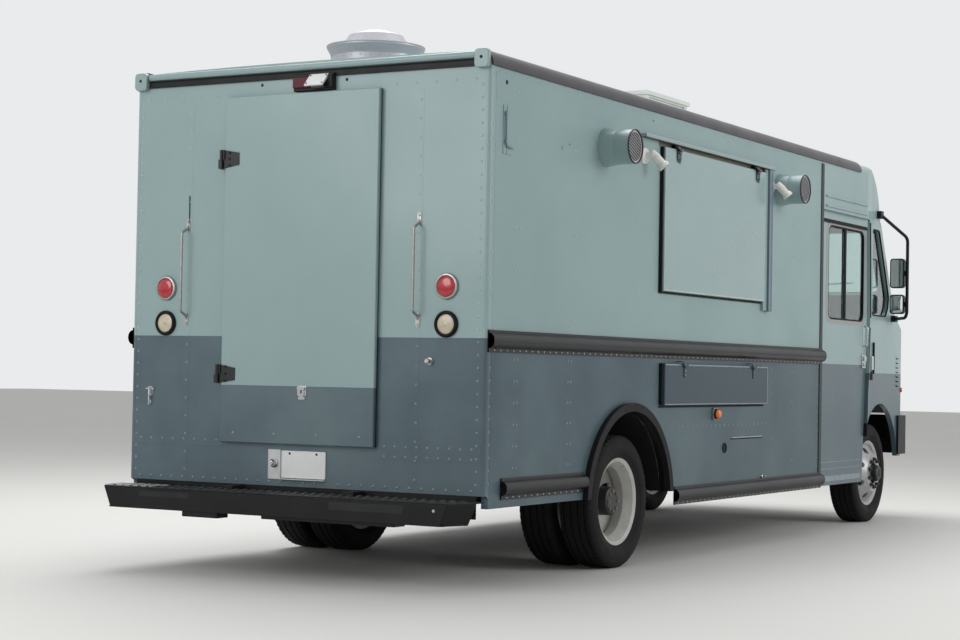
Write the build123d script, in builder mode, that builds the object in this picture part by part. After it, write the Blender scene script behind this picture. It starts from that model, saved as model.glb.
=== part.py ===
from build123d import *
from math import cos, sin, radians, sqrt
import os

# Food truck on a walk-in step van, in millimetres: +X forward, +Y left, +Z up, ground at z = 0
# A station is a distance forward of the rear wall

# Chassis and overall sizes
wheelbase = 4830
rear_overhang = 1710
front_overhang = 820
rear_step_reach = 285
tyre_radius = 395
tyre_width = 225
front_track_half = 950
rear_outer_half = 1036
twin_spacing = 268
seat_gap = 0.3
moving_gap = 6

overall_length = rear_step_reach + rear_overhang + wheelbase + front_overhang
axle_station = rear_overhang + wheelbase
rear_face = -overall_length / 2 + rear_step_reach
rear_axle_x = rear_face + rear_overhang
front_axle_x = rear_axle_x + wheelbase
front_face = front_axle_x + front_overhang
hub_z = tyre_radius

# Body shell
pillar_setback = 1500
half_width = 1180
wall = 40
side_bottom = 435
rear_bottom = 502
wall_top = 2745
roof_edge_z = 2838
roof_top = 2850
roof_skin = 40
roof_corner = 78
cap_radius = 20
cap_z = 2818
cap_half = 1085
floor_top = 810
floor_plate = 32
sill_height = 48
corner_post_radius = 22
body_length = axle_station - pillar_setback
body_front = rear_face + body_length
inner_half = half_width - wall
load_floor_half = inner_half - 55

# Wheel arches
rear_arch_shift = 25
rear_arch_radius = 548
rear_arch_z = 385
front_arch_radius = 560
flare_width = 48
flare_reach = 34
arch_well_depth = 560
well_skin = 12

# Serving side
hatch_rear = 2140
hatch_front = 3800
hatch_bottom = 1670
hatch_top = 2560
hatch_thickness = 26
hatch_lip = 45
post_gap = 75
post_width = 60
post_reach = 34
post_bottom = 1605
drip_rear = 1850
drip_front = 3970
drip_z = 2588
drip_height = 22
drip_reach = 36
shelf_rear = 2170
shelf_front = 3880
shelf_bottom = 966
shelf_top = 1226
shelf_thickness = 30
hinge_pin = 5
hinge_barrel = 10
hinge_leaf = 5
hinge_span = 60
hatch_hinge_insets = (190, 155)
shelf_hinge_inset = 280
hinge_standoff = hinge_barrel + 2
power_inlet_station = 3209
power_inlet_z = 680
power_inlet_radius = 28

# Rear door
door_left = 512
door_right = -510
door_bottom = 735
door_top = 2672
door_thickness = 30
doorway_half = 440
doorway_bottom = 830
doorway_top = 2590
rear_hinge_levels = (1116, 2322)
rear_hinge_height = 104
rear_hinge_pin_y = door_left + 18
rear_leaf_length = 105
plate_pitch = 178
plate_middle_y = -38
plate_bolt_z = 672
plate_hole_radius = 3.5

# Rails and strips
belt_bottom = 1256
belt_top = 1372
rail_reach = 42
rail_flange = 8
rail_lip = 20
rail_end_slope = 46
low_rail_height = 112
rear_low_rail = (170, 1140)
front_low_rail_start = 2400
rear_low_rail_bottom = 478
front_low_rail_bottom = 344
roof_rail_end = axle_station - 680
strip_thickness = 13

# Cab, in stations and heights
cab_half = half_width - 25
cab_nose_half = cab_half - 55
cab_skin = 40
belt_z = 1600
taper_start = axle_station - 490
cab_door_rear = body_length - 30
cab_door_front = axle_station - 335
cab_door_knee = belt_z + 20
cab_door_bottom = 345
cab_door_top = 2404
cab_door_thickness = 30
cab_door_travel = 950
door_slant_top = 33
door_slant_foot = 90
door_gap = 10
side_panel_rear = cab_door_front + door_gap
window_rear = cab_door_rear + 280
window_front = cab_door_front - 95
window_bottom = belt_z
window_top = 2315
window_corner = 70
mullion = 34
mullion_shift = -23
glass_thickness = 6
header_bottom = cab_door_top + 8
screen_top = (axle_station - 60, 2455)
screen_bottom = (axle_station + 330, 1810)
cowl_front = (axle_station + 410, 1690)
screen_half = cab_nose_half - 80
screen_divider = 22
screen_margin = 66
roof_round_start = axle_station - 530
brow_radius = 449
fender_bottom = 520
fender_front = axle_station + 640
nose_face = axle_station + 760
nose_top = 1500
nose_bottom = 870
hood_front_top = (axle_station + 716, 1528)
hood_axis = (axle_station + 418, cowl_front[1] + 4)
hood_half = cab_nose_half - 70
hood_thickness = 34
hood_hinge_ys = (-700, 620)
bumper_bottom = 535
bumper_top = 855
bumper_depth = 70
bumper_wrap = 300
bumper_corner = 110
bumper_half = half_width - 55
bumper_plate = 12

# Chassis
rail_outer = 432
rail_height = 200
rail_flange_width = 65
rail_thickness = 8
rail_top = floor_top - floor_plate - sill_height
rail_rear = 90
rail_front = axle_station + 690
spring_y = 495
spring_width = 62
leaf_thickness = 13
leaf_camber = 62
rear_leaf_half = 640
front_leaf_half = 560
spring_eye = 19
spring_pin = 10
hanger_height = 120
hanger_length = 70
hanger_wall = 12
hanger_pin_drop = 25
axle_tube = 58
kingpin_y = 815
kingpin_radius = 20
spindle_radius = 36
rim_flange_radius = 260
rim_seat_radius = 247
rim_width = 178
rim_thickness = 9
rim_well_radius = 216
bead_half = 78
tyre_belly_radius = 318
tread_half = 92
disc_offset = twin_spacing / 2
hand_hole_ring = 193
hand_hole_radius = 24
hand_hole_count = 8


def station(distance):
    """X of a place given by its distance forward of the rear wall."""
    return rear_face + distance


def door_edge(z):
    """Station of the cab door's front edge at a height: it leans back above and below its knee."""
    if z > cab_door_knee:
        return cab_door_front - door_slant_top * (z - cab_door_knee) / (cab_door_top - cab_door_knee)
    return cab_door_front - door_slant_foot * (cab_door_knee - z) / (cab_door_knee - cab_door_bottom)


def side_plane(y):
    """Drawing plane at y: local x forward, local y up, facing right."""
    return Plane.XZ.offset(-y)


def cross_plane(x):
    """Drawing plane at x: local x to the left, local y up, facing forward."""
    return Plane.YZ.offset(x)


def block(x_range, y_range, z_range, mode=Mode.ADD):
    """A rectangular solid between three pairs of limits, in the active part."""
    ranges = (x_range, y_range, z_range)
    middle = tuple((first + last) / 2 for first, last in ranges)
    with Locations(middle):
        Box(*(abs(last - first) for first, last in ranges), mode=mode)


def rod(start, direction, radius, length, mode=Mode.ADD):
    """A round bar from a point along a direction, in the active part."""
    with Locations(Plane(start, z_dir=direction)):
        Cylinder(radius, length, align=(Align.CENTER, Align.CENTER, Align.MIN), mode=mode)


def flat_outline(points):
    """A straight-sided face through its corner points, in the active sketch."""
    Polygon(*points, align=None)


def turned(points, centre, mode=Mode.ADD):
    """A ring about a crosswise axle from its half-section, as (y, radius) points."""
    x, z = centre
    with BuildSketch(Plane(origin=(x, 0, z), x_dir=(0, 1, 0), z_dir=(1, 0, 0))) as section:
        flat_outline(points)
    revolve(section.sketch, axis=Axis((x, 0, z), (0, 1, 0)), mode=mode)


def turned_out(points, origin, direction):
    """A round fitting from its half-section, as (distance out, radius) points from its seat."""
    seat = Plane(origin, z_dir=direction)
    with BuildSketch(Plane(origin, x_dir=seat.z_dir, z_dir=seat.x_dir)) as section:
        flat_outline(points)
    revolve(section.sketch, axis=Axis(origin, seat.z_dir))


def save(part, label):
    """Name one finished piece and write it."""
    part.label = label
    export_step(part, f"parts/{label}.step")


os.makedirs("parts", exist_ok=True)

# Side walls: flat panels with the rear wheel arch taken out of the lower edge
rear_arch_x = rear_axle_x + rear_arch_shift
with BuildPart() as plain_wall:
    with BuildSketch(side_plane(-inner_half)):
        with Locations(((rear_face + wall + body_front) / 2, (side_bottom + wall_top) / 2)):
            Rectangle(body_length - wall, wall_top - side_bottom)
        with Locations((rear_arch_x, rear_arch_z)):
            Circle(rear_arch_radius, mode=Mode.SUBTRACT)
    extrude(amount=wall)

with BuildPart() as left_wall:
    mirror(plain_wall.part, about=Plane.XZ)
save(left_wall.part, "left_wall")

window_x = (station(hatch_rear + hatch_lip), station(hatch_front - hatch_lip))
window_z = (hatch_bottom + hatch_lip, hatch_top - hatch_lip)
hatch_axis_y = -(half_width + moving_gap + hatch_thickness + hinge_standoff)
hatch_axis_z = hatch_top - hinge_barrel / 2
shelf_axis_y = -(half_width + moving_gap + shelf_thickness + hinge_standoff)
shelf_axis_z = shelf_top - hinge_barrel / 2
hatch_hinge_xs = (station(hatch_rear + hatch_hinge_insets[0]), station(hatch_front - hatch_hinge_insets[1]))
shelf_hinge_xs = (station(shelf_rear + shelf_hinge_inset), station(shelf_front - shelf_hinge_inset))
post_x = station(hatch_front + post_gap)


def fixed_side_hinges(xs, axis_y, axis_z):
    """Wall leaf, arm, one barrel and the pin of each hinge that lies along the side."""
    half = hinge_span / 2
    arm_top = axis_z + hinge_barrel + moving_gap
    for x in xs:
        block((x - half, x), (axis_y, -half_width), (arm_top, arm_top + hinge_leaf))
        block((x - half, x - 1), (axis_y - hinge_leaf / 2, axis_y + hinge_leaf / 2), (axis_z, arm_top))
        rod((x - half, axis_y, axis_z), (1, 0, 0), hinge_barrel, half - 1)
        rod((x - half, axis_y, axis_z), (1, 0, 0), hinge_pin, hinge_span)


def moving_side_hinges(xs, axis_y, axis_z, face_y):
    """The barrel round the pin, its knuckle and the strap down the panel's face."""
    half = hinge_span / 2
    for x in xs:
        rod((x + 1, axis_y, axis_z), (1, 0, 0), hinge_barrel, half - 1)
        block((x + 1, x + half), (axis_y, face_y), (axis_z - 2 * hinge_barrel, axis_z))
        block((x + 1, x + half), (face_y - hinge_leaf, face_y), (axis_z - 8 * hinge_barrel, axis_z))
    for x in xs:
        rod((x - 1, axis_y, axis_z), (1, 0, 0), hinge_pin + seat_gap, hinge_span, Mode.SUBTRACT)


with BuildPart() as right_wall:
    add(plain_wall.part)
    block(window_x, (-half_width, -inner_half), window_z, mode=Mode.SUBTRACT)
    with BuildSketch(side_plane(-inner_half)):
        with Locations((station(power_inlet_station), power_inlet_z)):
            Circle(power_inlet_radius)
    extrude(amount=wall, mode=Mode.SUBTRACT)
    block((station(drip_rear), station(drip_front)), (-half_width - drip_reach, -half_width), (drip_z, drip_z + drip_height))
    block((post_x, post_x + post_width), (-half_width - post_reach, -half_width), (post_bottom, drip_z))
    fixed_side_hinges(hatch_hinge_xs, hatch_axis_y, hatch_axis_z)
    fixed_side_hinges(shelf_hinge_xs, shelf_axis_y, shelf_axis_z)
save(right_wall.part, "right_wall")

# Serving hatch and fold-down shelf: folded panels with eased outer edges that stand off the wall
panel_ease = 4
with BuildPart() as serving_hatch:
    hatch_y = (-half_width - moving_gap - hatch_thickness, -half_width - moving_gap)
    block((station(hatch_rear), station(hatch_front)), hatch_y, (hatch_bottom, hatch_top))
    chamfer(faces().sort_by(Axis.Y)[0].edges(), panel_ease)
    moving_side_hinges(hatch_hinge_xs, hatch_axis_y, hatch_axis_z, hatch_y[0])
save(serving_hatch.part, "serving_hatch")

with BuildPart() as serving_shelf:
    shelf_y = (-half_width - moving_gap - shelf_thickness, -half_width - moving_gap)
    block((station(shelf_rear), station(shelf_front)), shelf_y, (shelf_bottom, shelf_top))
    chamfer(faces().sort_by(Axis.Y)[0].edges(), panel_ease)
    moving_side_hinges(shelf_hinge_xs, shelf_axis_y, shelf_axis_z, shelf_y[0])
save(serving_shelf.part, "serving_shelf")

# Rear wall with its doorway and the fixed halves of the door hinges
rear_hinge_x = rear_face - moving_gap - door_thickness - hinge_standoff
rear_leaf_y = rear_hinge_pin_y + hinge_barrel + moving_gap
with BuildPart() as rear_wall:
    block((rear_face, rear_face + wall), (-half_width, half_width), (rear_bottom, wall_top))
    fillet(edges().filter_by(Axis.Z).group_by(Axis.X)[0], corner_post_radius)
    block((rear_face, rear_face + wall), (-doorway_half, doorway_half), (doorway_bottom, doorway_top), mode=Mode.SUBTRACT)
    for level in rear_hinge_levels:
        foot = level - rear_hinge_height / 2
        block((rear_hinge_x, rear_face), (rear_leaf_y, rear_leaf_y + hinge_leaf), (foot, level - 1))
        block((rear_hinge_x - hinge_leaf / 2, rear_hinge_x + hinge_leaf / 2), (rear_hinge_pin_y, rear_leaf_y), (foot, level - 1))
        block((rear_face - hinge_leaf, rear_face), (rear_leaf_y, rear_leaf_y + 25), (foot, foot + rear_hinge_height))
        rod((rear_hinge_x, rear_hinge_pin_y, foot), (0, 0, 1), hinge_barrel, rear_hinge_height / 2 - 1)
        rod((rear_hinge_x, rear_hinge_pin_y, foot), (0, 0, 1), hinge_pin, rear_hinge_height)
    for side in (-1, 1):
        bolt_y = plate_middle_y + side * plate_pitch / 2
        rod((rear_face - wall, bolt_y, plate_bolt_z), (1, 0, 0), plate_hole_radius, 3 * wall, Mode.SUBTRACT)
save(rear_wall.part, "rear_wall")

with BuildPart() as rear_door:
    door_x = (rear_face - moving_gap - door_thickness, rear_face - moving_gap)
    block(door_x, (door_right, door_left), (door_bottom, door_top))
    chamfer(faces().sort_by(Axis.X)[0].edges(), panel_ease)
    leaf_root = rear_hinge_pin_y - hinge_barrel - 2
    for level in rear_hinge_levels:
        top = level + rear_hinge_height / 2
        rod((rear_hinge_x, rear_hinge_pin_y, level + 1), (0, 0, 1), hinge_barrel, rear_hinge_height / 2 - 1)
        block((rear_hinge_x, door_x[0]), (leaf_root - 8, rear_hinge_pin_y), (level + 1, top))
        with BuildSketch(cross_plane(door_x[0] - hinge_leaf)) as leaf:
            flat_outline([(leaf_root, level - rear_hinge_height / 2), (leaf_root, top), (leaf_root - rear_leaf_length, level + 34),
                          (leaf_root - rear_leaf_length, level - 34)])
        extrude(leaf.sketch, amount=hinge_leaf)
    for level in rear_hinge_levels:
        rod((rear_hinge_x, rear_hinge_pin_y, level - 1), (0, 0, 1), hinge_pin + seat_gap, rear_hinge_height, Mode.SUBTRACT)
save(rear_door.part, "rear_door")


def roof_section(x, inset, foot=wall_top):
    """Cross-section of the roof at x: a low crown with rounded corners, drawn inset by a skin."""
    side = half_width - inset
    edge = roof_edge_z - inset
    radius = roof_corner - inset
    turn = radius * (1 - sqrt(0.5))
    with BuildSketch(cross_plane(x)) as section:
        with BuildLine():
            Line((-side, foot), (-side, edge - radius))
            ThreePointArc((-side, edge - radius), (-side + turn, edge - turn), (-side + radius, edge))
            ThreePointArc((-side + radius, edge), (0, roof_top - inset), (side - radius, edge))
            ThreePointArc((side - radius, edge), (side - turn, edge - turn), (side, edge - radius))
            Line((side, edge - radius), (side, foot))
            Line((side, foot), (-side, foot))
        make_face()
    return section.sketch


with BuildPart() as roof:
    extrude(roof_section(rear_face, 0), amount=body_length)
    extrude(roof_section(rear_face + wall, roof_skin), amount=body_length - wall, mode=Mode.SUBTRACT)
    rod((rear_face, -cap_half, cap_z), (0, 1, 0), cap_radius, 2 * cap_half)
save(roof.part, "roof")


def cab_outline(inset):
    """The cab seen from above, drawn inset by a skin: straight by the doors, tapering to the nose."""
    taper = [
        (body_front, half_width - inset),
        (station(taper_start), half_width - inset),
        (station(side_panel_rear), cab_half - inset),
        (station(fender_front), cab_nose_half - inset),
        (station(nose_face) - 70 - inset / 2, cab_nose_half - 32 - inset),
        (station(nose_face) - 20 - inset, cab_nose_half - 90 - inset / 2),
        (station(nose_face) - inset, cab_nose_half - 170),
    ]
    return taper + [(x, -y) for x, y in reversed(taper)]


def cab_prism(inset):
    """The cab's plan drawn up past the roof, as a cutter for what follows its sides."""
    with BuildPart(mode=Mode.PRIVATE) as prism:
        with BuildSketch(Plane.XY):
            flat_outline(cab_outline(inset))
        extrude(amount=roof_top + 50)
    return prism.part


cab_plan = cab_prism(0)


def header_outline(y, inset):
    """Side view of the cab header at y: flat roof, rounded brow and the lip over the windscreen."""
    radius = brow_radius - inset
    top = roof_top - inset
    centre_x, centre_z = station(roof_round_start), roof_top - brow_radius
    end_angle = radians(17)
    end = (centre_x + radius * cos(end_angle), centre_z + radius * sin(end_angle))
    middle = (centre_x + radius * sin(radians(36)), centre_z + radius * cos(radians(36)))
    foot = (station(screen_top[0]) - inset, header_bottom)
    with BuildSketch(side_plane(y)) as outline:
        with BuildLine():
            Line((body_front, header_bottom), (body_front, top))
            Line((body_front, top), (centre_x, top))
            ThreePointArc((centre_x, top), middle, end)
            Line(end, foot)
            Line(foot, (body_front, header_bottom))
        make_face()
    return outline.sketch


# Cab header: the roof's section carried on to the brow, with drip ribs and a valance over each door
rib_reach = 11
rib_height = 12
rib_levels = (header_bottom + 24, header_bottom + 96)
valance_depth = 66
valance_plate = 6
header_skin = 16
header_length = station(screen_top[0]) - body_front + 10
with BuildPart() as header_shell:
    extrude(roof_section(body_front, 0, header_bottom), amount=header_length)
    extrude(header_outline(-half_width, 0), amount=-2 * half_width, mode=Mode.INTERSECT)
    add(cab_plan, mode=Mode.INTERSECT)
with BuildPart() as header_inside:
    extrude(roof_section(body_front, roof_skin, header_bottom), amount=header_length)
    extrude(header_outline(-half_width, roof_skin), amount=-2 * half_width, mode=Mode.INTERSECT)
    add(cab_prism(header_skin), mode=Mode.INTERSECT)
with BuildPart() as cab_header:
    add(header_shell.part)
    add(header_inside.part, mode=Mode.SUBTRACT)
    for side in (-1, 1):
        for low in rib_levels:
            rib_y = (side * (half_width - 2), side * (half_width + rib_reach))
            block((body_front + 60, station(taper_start) - 10), rib_y, (low, low + rib_height))
        valance_run = (body_front, station(door_edge(header_bottom)) - 12)
        block(valance_run, (side * inner_half, side * (inner_half + valance_plate)), (header_bottom - valance_depth, header_bottom + 1))
save(cab_header.part, "cab_header")


def front_outline(inset):
    """Side view of the windscreen frame and cowl."""
    lean = inset * 1.16
    flat_outline([
        (station(door_edge(belt_z) + door_gap), belt_z),
        (station(side_panel_rear), cab_door_knee),
        (station(door_edge(header_bottom) + door_gap), header_bottom),
        (station(screen_top[0]) - lean + 20, header_bottom),
        (station(screen_bottom[0]) - lean, screen_bottom[1]),
        (station(cowl_front[0]) - lean, cowl_front[1]),
        (station(cowl_front[0]) - lean, belt_z),
    ])


screen_run = (station(screen_top[0]) + 20 - station(screen_bottom[0]), header_bottom - screen_bottom[1])
screen_length = sqrt(screen_run[0] ** 2 + screen_run[1] ** 2)
screen_middle = (station(screen_bottom[0]) + screen_run[0] / 2, 0, screen_bottom[1] + screen_run[1] / 2)
screen_plane = Plane(origin=screen_middle, x_dir=(0, 1, 0), z_dir=(screen_run[1], 0, -screen_run[0]))
quarter_low = belt_z + 62
quarter_high = header_bottom - 67
quarter_outline = [(60, quarter_low), (60, quarter_high), (236, quarter_high), (548, screen_bottom[1] + 10),
                   (520, quarter_low + 68), (450, quarter_low)]


def screen_panes(depth, gap):
    """Two rounded panes either side of the windscreen's centre bar, at a depth in its frame."""
    width = screen_half - screen_divider - 2 * gap
    height = screen_length - 2 * screen_margin - 2 * gap
    middle = (screen_half + screen_divider) / 2
    with BuildSketch(screen_plane.offset(-depth)) as panes:
        with Locations((middle, 0), (-middle, 0)):
            RectangleRounded(width, height, 60 - gap)
    return panes.sketch


def quarter_pane(side, depth, gap):
    """Quarter window ahead of the door, its lower front corner cut off, at a depth inside the panel."""
    run = (fender_front - side_panel_rear, side * (cab_nose_half - cab_half))
    origin = (station(side_panel_rear), side * (cab_half - depth), 0)
    with BuildSketch(Plane(origin=origin, x_dir=(*run, 0), z_dir=(run[1], -run[0], 0))) as pane:
        flat_outline(quarter_outline)
        if gap:
            offset(amount=-gap, kind=Kind.INTERSECTION)
    return pane.sketch


with BuildPart() as cab_shell:
    with BuildSketch(side_plane(-cab_half)):
        front_outline(0)
    extrude(amount=-2 * cab_half)
    with BuildSketch(side_plane(-cab_half)) as inner_side:
        front_outline(cab_skin)
    with BuildPart(mode=Mode.PRIVATE) as inner_space:
        extrude(inner_side.sketch, amount=-2 * cab_half)
        add(cab_prism(cab_skin), mode=Mode.INTERSECT)
    add(inner_space.part, mode=Mode.SUBTRACT)
    add(cab_plan, mode=Mode.INTERSECT)
    extrude(screen_panes(0, 0), amount=2 * cab_skin, both=True, mode=Mode.SUBTRACT)
    for side in (-1, 1):
        extrude(quarter_pane(side, cab_skin / 2, 0), amount=1.5 * cab_skin, both=True, mode=Mode.SUBTRACT)


def hood_line(distance):
    """Height of the hood's top surface at a station."""
    slope = (cowl_front[1] - hood_front_top[1]) / (hood_front_top[0] - cowl_front[0])
    return cowl_front[1] - slope * (distance - cowl_front[0])


# Fenders: side panels ahead of the doors, with round wheel arches and a louvre
louvre_station = axle_station + 520
louvre_half = 40
louvre_low = 1092
louvre_slot = 10
louvre_pitch = 38
louvre_count = 7
with BuildPart() as fenders:
    with BuildSketch(side_plane(-half_width)):
        flat_outline([
            (station(door_edge(fender_bottom) + door_gap), fender_bottom),
            (station(door_edge(belt_z) + door_gap), belt_z - seat_gap),
            (station(cowl_front[0]) + seat_gap, belt_z - seat_gap),
            (station(cowl_front[0]) + seat_gap, hood_line(cowl_front[0])),
            (station(fender_front) - seat_gap, hood_line(fender_front)),
            (station(fender_front) - seat_gap, fender_bottom),
        ])
        with Locations((front_axle_x, hub_z)):
            Circle(front_arch_radius, mode=Mode.SUBTRACT)
    extrude(amount=-2 * half_width)
    add(cab_plan, mode=Mode.INTERSECT)
    add(cab_prism(cab_skin), mode=Mode.SUBTRACT)
    louvre_x = (station(louvre_station) - louvre_half, station(louvre_station) + louvre_half)
    for step in range(louvre_count):
        low = louvre_low + step * louvre_pitch
        block(louvre_x, (-half_width, half_width), (low, low + louvre_slot), mode=Mode.SUBTRACT)
save(fenders.part, "fenders")

# Nose panel with its grille opening and round headlamp openings
headlamp_y = cab_nose_half - 250
headlamp_z = 1130
headlamp_radius = 96
grille_half = cab_nose_half - 460
grille_low = 960
grille_high = 1330
grille_bars = 7
bar_height = 16
nose_run = (station(fender_front), station(nose_face) + 1)
with BuildPart() as nose_panel:
    with BuildSketch(side_plane(-half_width)):
        flat_outline([
            (station(fender_front), nose_bottom),
            (station(fender_front), hood_line(fender_front)),
            (station(nose_face) - 40, hood_line(nose_face - 40)),
            (station(nose_face), nose_top - 30),
            (station(nose_face), nose_bottom),
        ])
    extrude(amount=-2 * half_width)
    add(cab_plan, mode=Mode.INTERSECT)
    add(cab_prism(cab_skin), mode=Mode.SUBTRACT)
    block(nose_run, (-hood_half, hood_half), (nose_top - 90, nose_top + 500), mode=Mode.SUBTRACT)
    block(nose_run, (-grille_half, grille_half), (grille_low, grille_high), mode=Mode.SUBTRACT)
    for side in (-1, 1):
        rod((station(nose_face) - 60, side * headlamp_y, headlamp_z), (1, 0, 0), headlamp_radius, 100, Mode.SUBTRACT)
    bar_pitch = (grille_high - grille_low) / (grille_bars + 1)
    for step in range(1, grille_bars + 1):
        middle_z = grille_low + step * bar_pitch
        block((station(nose_face) - 34, station(nose_face) - 10), (-grille_half, grille_half), (middle_z - bar_height / 2, middle_z + bar_height / 2))
save(nose_panel.part, "nose_panel")

# Hood: a folded lid hinged at the cowl
hood_barrel_radius = 8
hood_pin = 4
hood_knuckle = 40


def hood_barrel(y, radius, length, mode=Mode.ADD):
    """A crosswise cylinder on the hood's hinge line, from y towards the left."""
    rod((station(hood_axis[0]), y, hood_axis[1]), (0, 1, 0), radius, length, mode)


hood_rear = cowl_front[0] + 16
hood_panel_half = hood_half - moving_gap
with BuildPart() as hood:
    with BuildSketch(side_plane(-hood_panel_half)):
        flat_outline([
            (station(hood_rear), hood_line(hood_rear)),
            (station(nose_face) - 40, hood_line(nose_face - 40)),
            (station(nose_face), nose_top - 30),
            (station(nose_face), nose_top - 84),
            (station(nose_face) - 30, nose_top - 84),
            (station(nose_face) - 30, nose_top - 50),
            (station(nose_face) - 60, hood_line(nose_face - 60) - hood_thickness),
            (station(hood_rear), hood_line(hood_rear) - hood_thickness),
        ])
    extrude(amount=-2 * hood_panel_half)
    hinge_x = station(hood_axis[0])
    for y in hood_hinge_ys:
        hood_barrel(y + hood_knuckle + 1, hood_barrel_radius, hood_knuckle - 1)
        block((hinge_x, hinge_x + 34), (y + hood_knuckle + 1, y + 2 * hood_knuckle), (hood_axis[1] - 34, hood_axis[1]))
        hood_barrel(y + hood_knuckle - 5, hood_pin + seat_gap, hood_knuckle + 10, mode=Mode.SUBTRACT)
save(hood.part, "hood")

with BuildPart() as cab_front:
    add(cab_shell.part)
    for y in hood_hinge_ys:
        hood_barrel(y, hood_barrel_radius, hood_knuckle)
        hood_barrel(y, hood_pin, 2 * hood_knuckle)
        block((hinge_x - 24, hinge_x), (y, y + hood_knuckle), (hood_axis[1] - 16, hood_axis[1]))
save(cab_front.part, "cab_front")

# Front bumper: a deep beam with bevelled, wrapped ends, brackets to the frame and two tow eyes
tow_eye_radius = 17
tow_eye_drop = 30
tow_eye_setback = 60
tow_plate = 20
tow_y = rail_outer - 40
bracket_front = front_face - bumper_depth + 14
with BuildPart() as front_bumper:
    wrap_end = front_face - bumper_wrap
    bevel_x = front_face - bumper_corner
    bevel_y = bumper_half - bumper_corner
    outer_side = [(front_face, -bevel_y), (bevel_x, -bumper_half), (wrap_end, -bumper_half)]
    inner_side = [(wrap_end, -bumper_half + bumper_plate), (bevel_x, -bumper_half + bumper_plate), (bracket_front, -bevel_y + 8)]
    plan = outer_side + inner_side
    with BuildSketch(Plane.XY.offset(bumper_bottom)):
        flat_outline(plan + [(x, -y) for x, y in reversed(plan)])
    extrude(amount=bumper_top - bumper_bottom)
    for side in (-1, 1):
        block((station(rail_front), bracket_front), (side * (rail_outer - rail_flange_width), side * rail_outer),
              (bumper_bottom + 30, bumper_bottom + 170))
        block((front_face - 110, front_face - 20), (side * tow_y, side * (tow_y + tow_plate)), (bumper_bottom - 64, bumper_bottom + 40))
    rod((front_face - tow_eye_setback, -rail_outer, bumper_bottom - tow_eye_drop), (0, 1, 0), tow_eye_radius, 2 * rail_outer, Mode.SUBTRACT)
save(front_bumper.part, "front_bumper")

# Sliding cab doors with window openings, hung from tracks on two hangers each
door_outer = inner_half - moving_gap
door_inner = door_outer - cab_door_thickness
door_mid = (door_outer + door_inner) / 2
track_low = cab_door_top + moving_gap
track_height = 38
track_wall = 4
track_slot = 14
hanger_stations = (cab_door_rear + 190, cab_door_front - 185)
door_hanger_half = 30
window_middle = ((station(window_rear) + station(window_front)) / 2, (window_bottom + window_top) / 2)
window_width = window_front - window_rear
window_height = window_top - window_bottom


def door_window(y, gap):
    """The door's window at y less a gap all round, divided by an upright bar."""
    with BuildSketch(side_plane(y)) as opening:
        with Locations(window_middle):
            RectangleRounded(window_width - 2 * gap, window_height - 2 * gap, window_corner - gap)
            with Locations((mullion_shift, 0)):
                Rectangle(mullion + 2 * gap, window_height, mode=Mode.SUBTRACT)
    return opening.sketch


with BuildPart() as cab_door_right:
    with BuildSketch(side_plane(-door_inner)):
        flat_outline([
            (station(cab_door_rear), cab_door_bottom),
            (station(cab_door_rear), cab_door_top),
            (station(door_edge(cab_door_top)), cab_door_top),
            (station(cab_door_front), cab_door_knee),
            (station(door_edge(cab_door_bottom)), cab_door_bottom),
        ])
    extrude(amount=cab_door_thickness)
    extrude(door_window(-door_inner, 0), amount=cab_door_thickness, mode=Mode.SUBTRACT)
    for distance in hanger_stations:
        reach = (station(distance) - door_hanger_half, station(distance) + door_hanger_half)
        block(reach, (-door_mid - 4, -door_mid + 4), (cab_door_top, track_low + track_wall + 1))
        block(reach, (-door_mid - 13, -door_mid + 13), (track_low + track_wall + seat_gap, track_low + track_wall + 20))
save(cab_door_right.part, "cab_door_right")
with BuildPart() as cab_door_left:
    mirror(cab_door_right.part, about=Plane.XZ)
save(cab_door_left.part, "cab_door_left")

track_run = (station(cab_door_rear - cab_door_travel) - 30, station(door_edge(cab_door_top)))
with BuildPart() as door_tracks:
    for side in (-1, 1):
        far = 2 * door_mid - inner_half
        block(track_run, (side * far, side * inner_half), (track_low, track_low + track_height))
        block(track_run, (side * (far + track_wall), side * (inner_half - track_wall)),
              (track_low + track_wall, track_low + track_height - track_wall), mode=Mode.SUBTRACT)
        block(track_run, (side * door_mid - track_slot / 2, side * door_mid + track_slot / 2), (track_low, track_low + track_wall),
              mode=Mode.SUBTRACT)
save(door_tracks.part, "door_tracks")

with BuildPart() as door_glass_right:
    extrude(door_window(-door_mid + glass_thickness / 2, seat_gap), amount=glass_thickness)
save(door_glass_right.part, "door_glass_right")
with BuildPart() as door_glass_left:
    mirror(door_glass_right.part, about=Plane.XZ)
save(door_glass_left.part, "door_glass_left")

# Load floor on cross sills, cut round the wheel wells
well_outer = rear_arch_radius + well_skin
well_inner_y = inner_half - arch_well_depth
floor_step_x = track_run[0] - 30
sill_pitch = 460
sill_inset = 200
sill_half = 25
sill_count = int((body_length - sill_inset - sill_half) / sill_pitch) + 1


def arch_ring(y, outer, cut_below):
    """Upper arc of a wheel arch at y: a ring from the arch's radius out, ended above a height."""
    with BuildSketch(side_plane(y)) as section:
        with Locations((rear_arch_x, rear_arch_z)):
            Circle(outer)
            Circle(rear_arch_radius, mode=Mode.SUBTRACT)
        with Locations((rear_arch_x, cut_below)):
            Rectangle(3 * outer, 3 * outer, align=(Align.CENTER, Align.MAX), mode=Mode.SUBTRACT)
    return section.sketch


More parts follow.
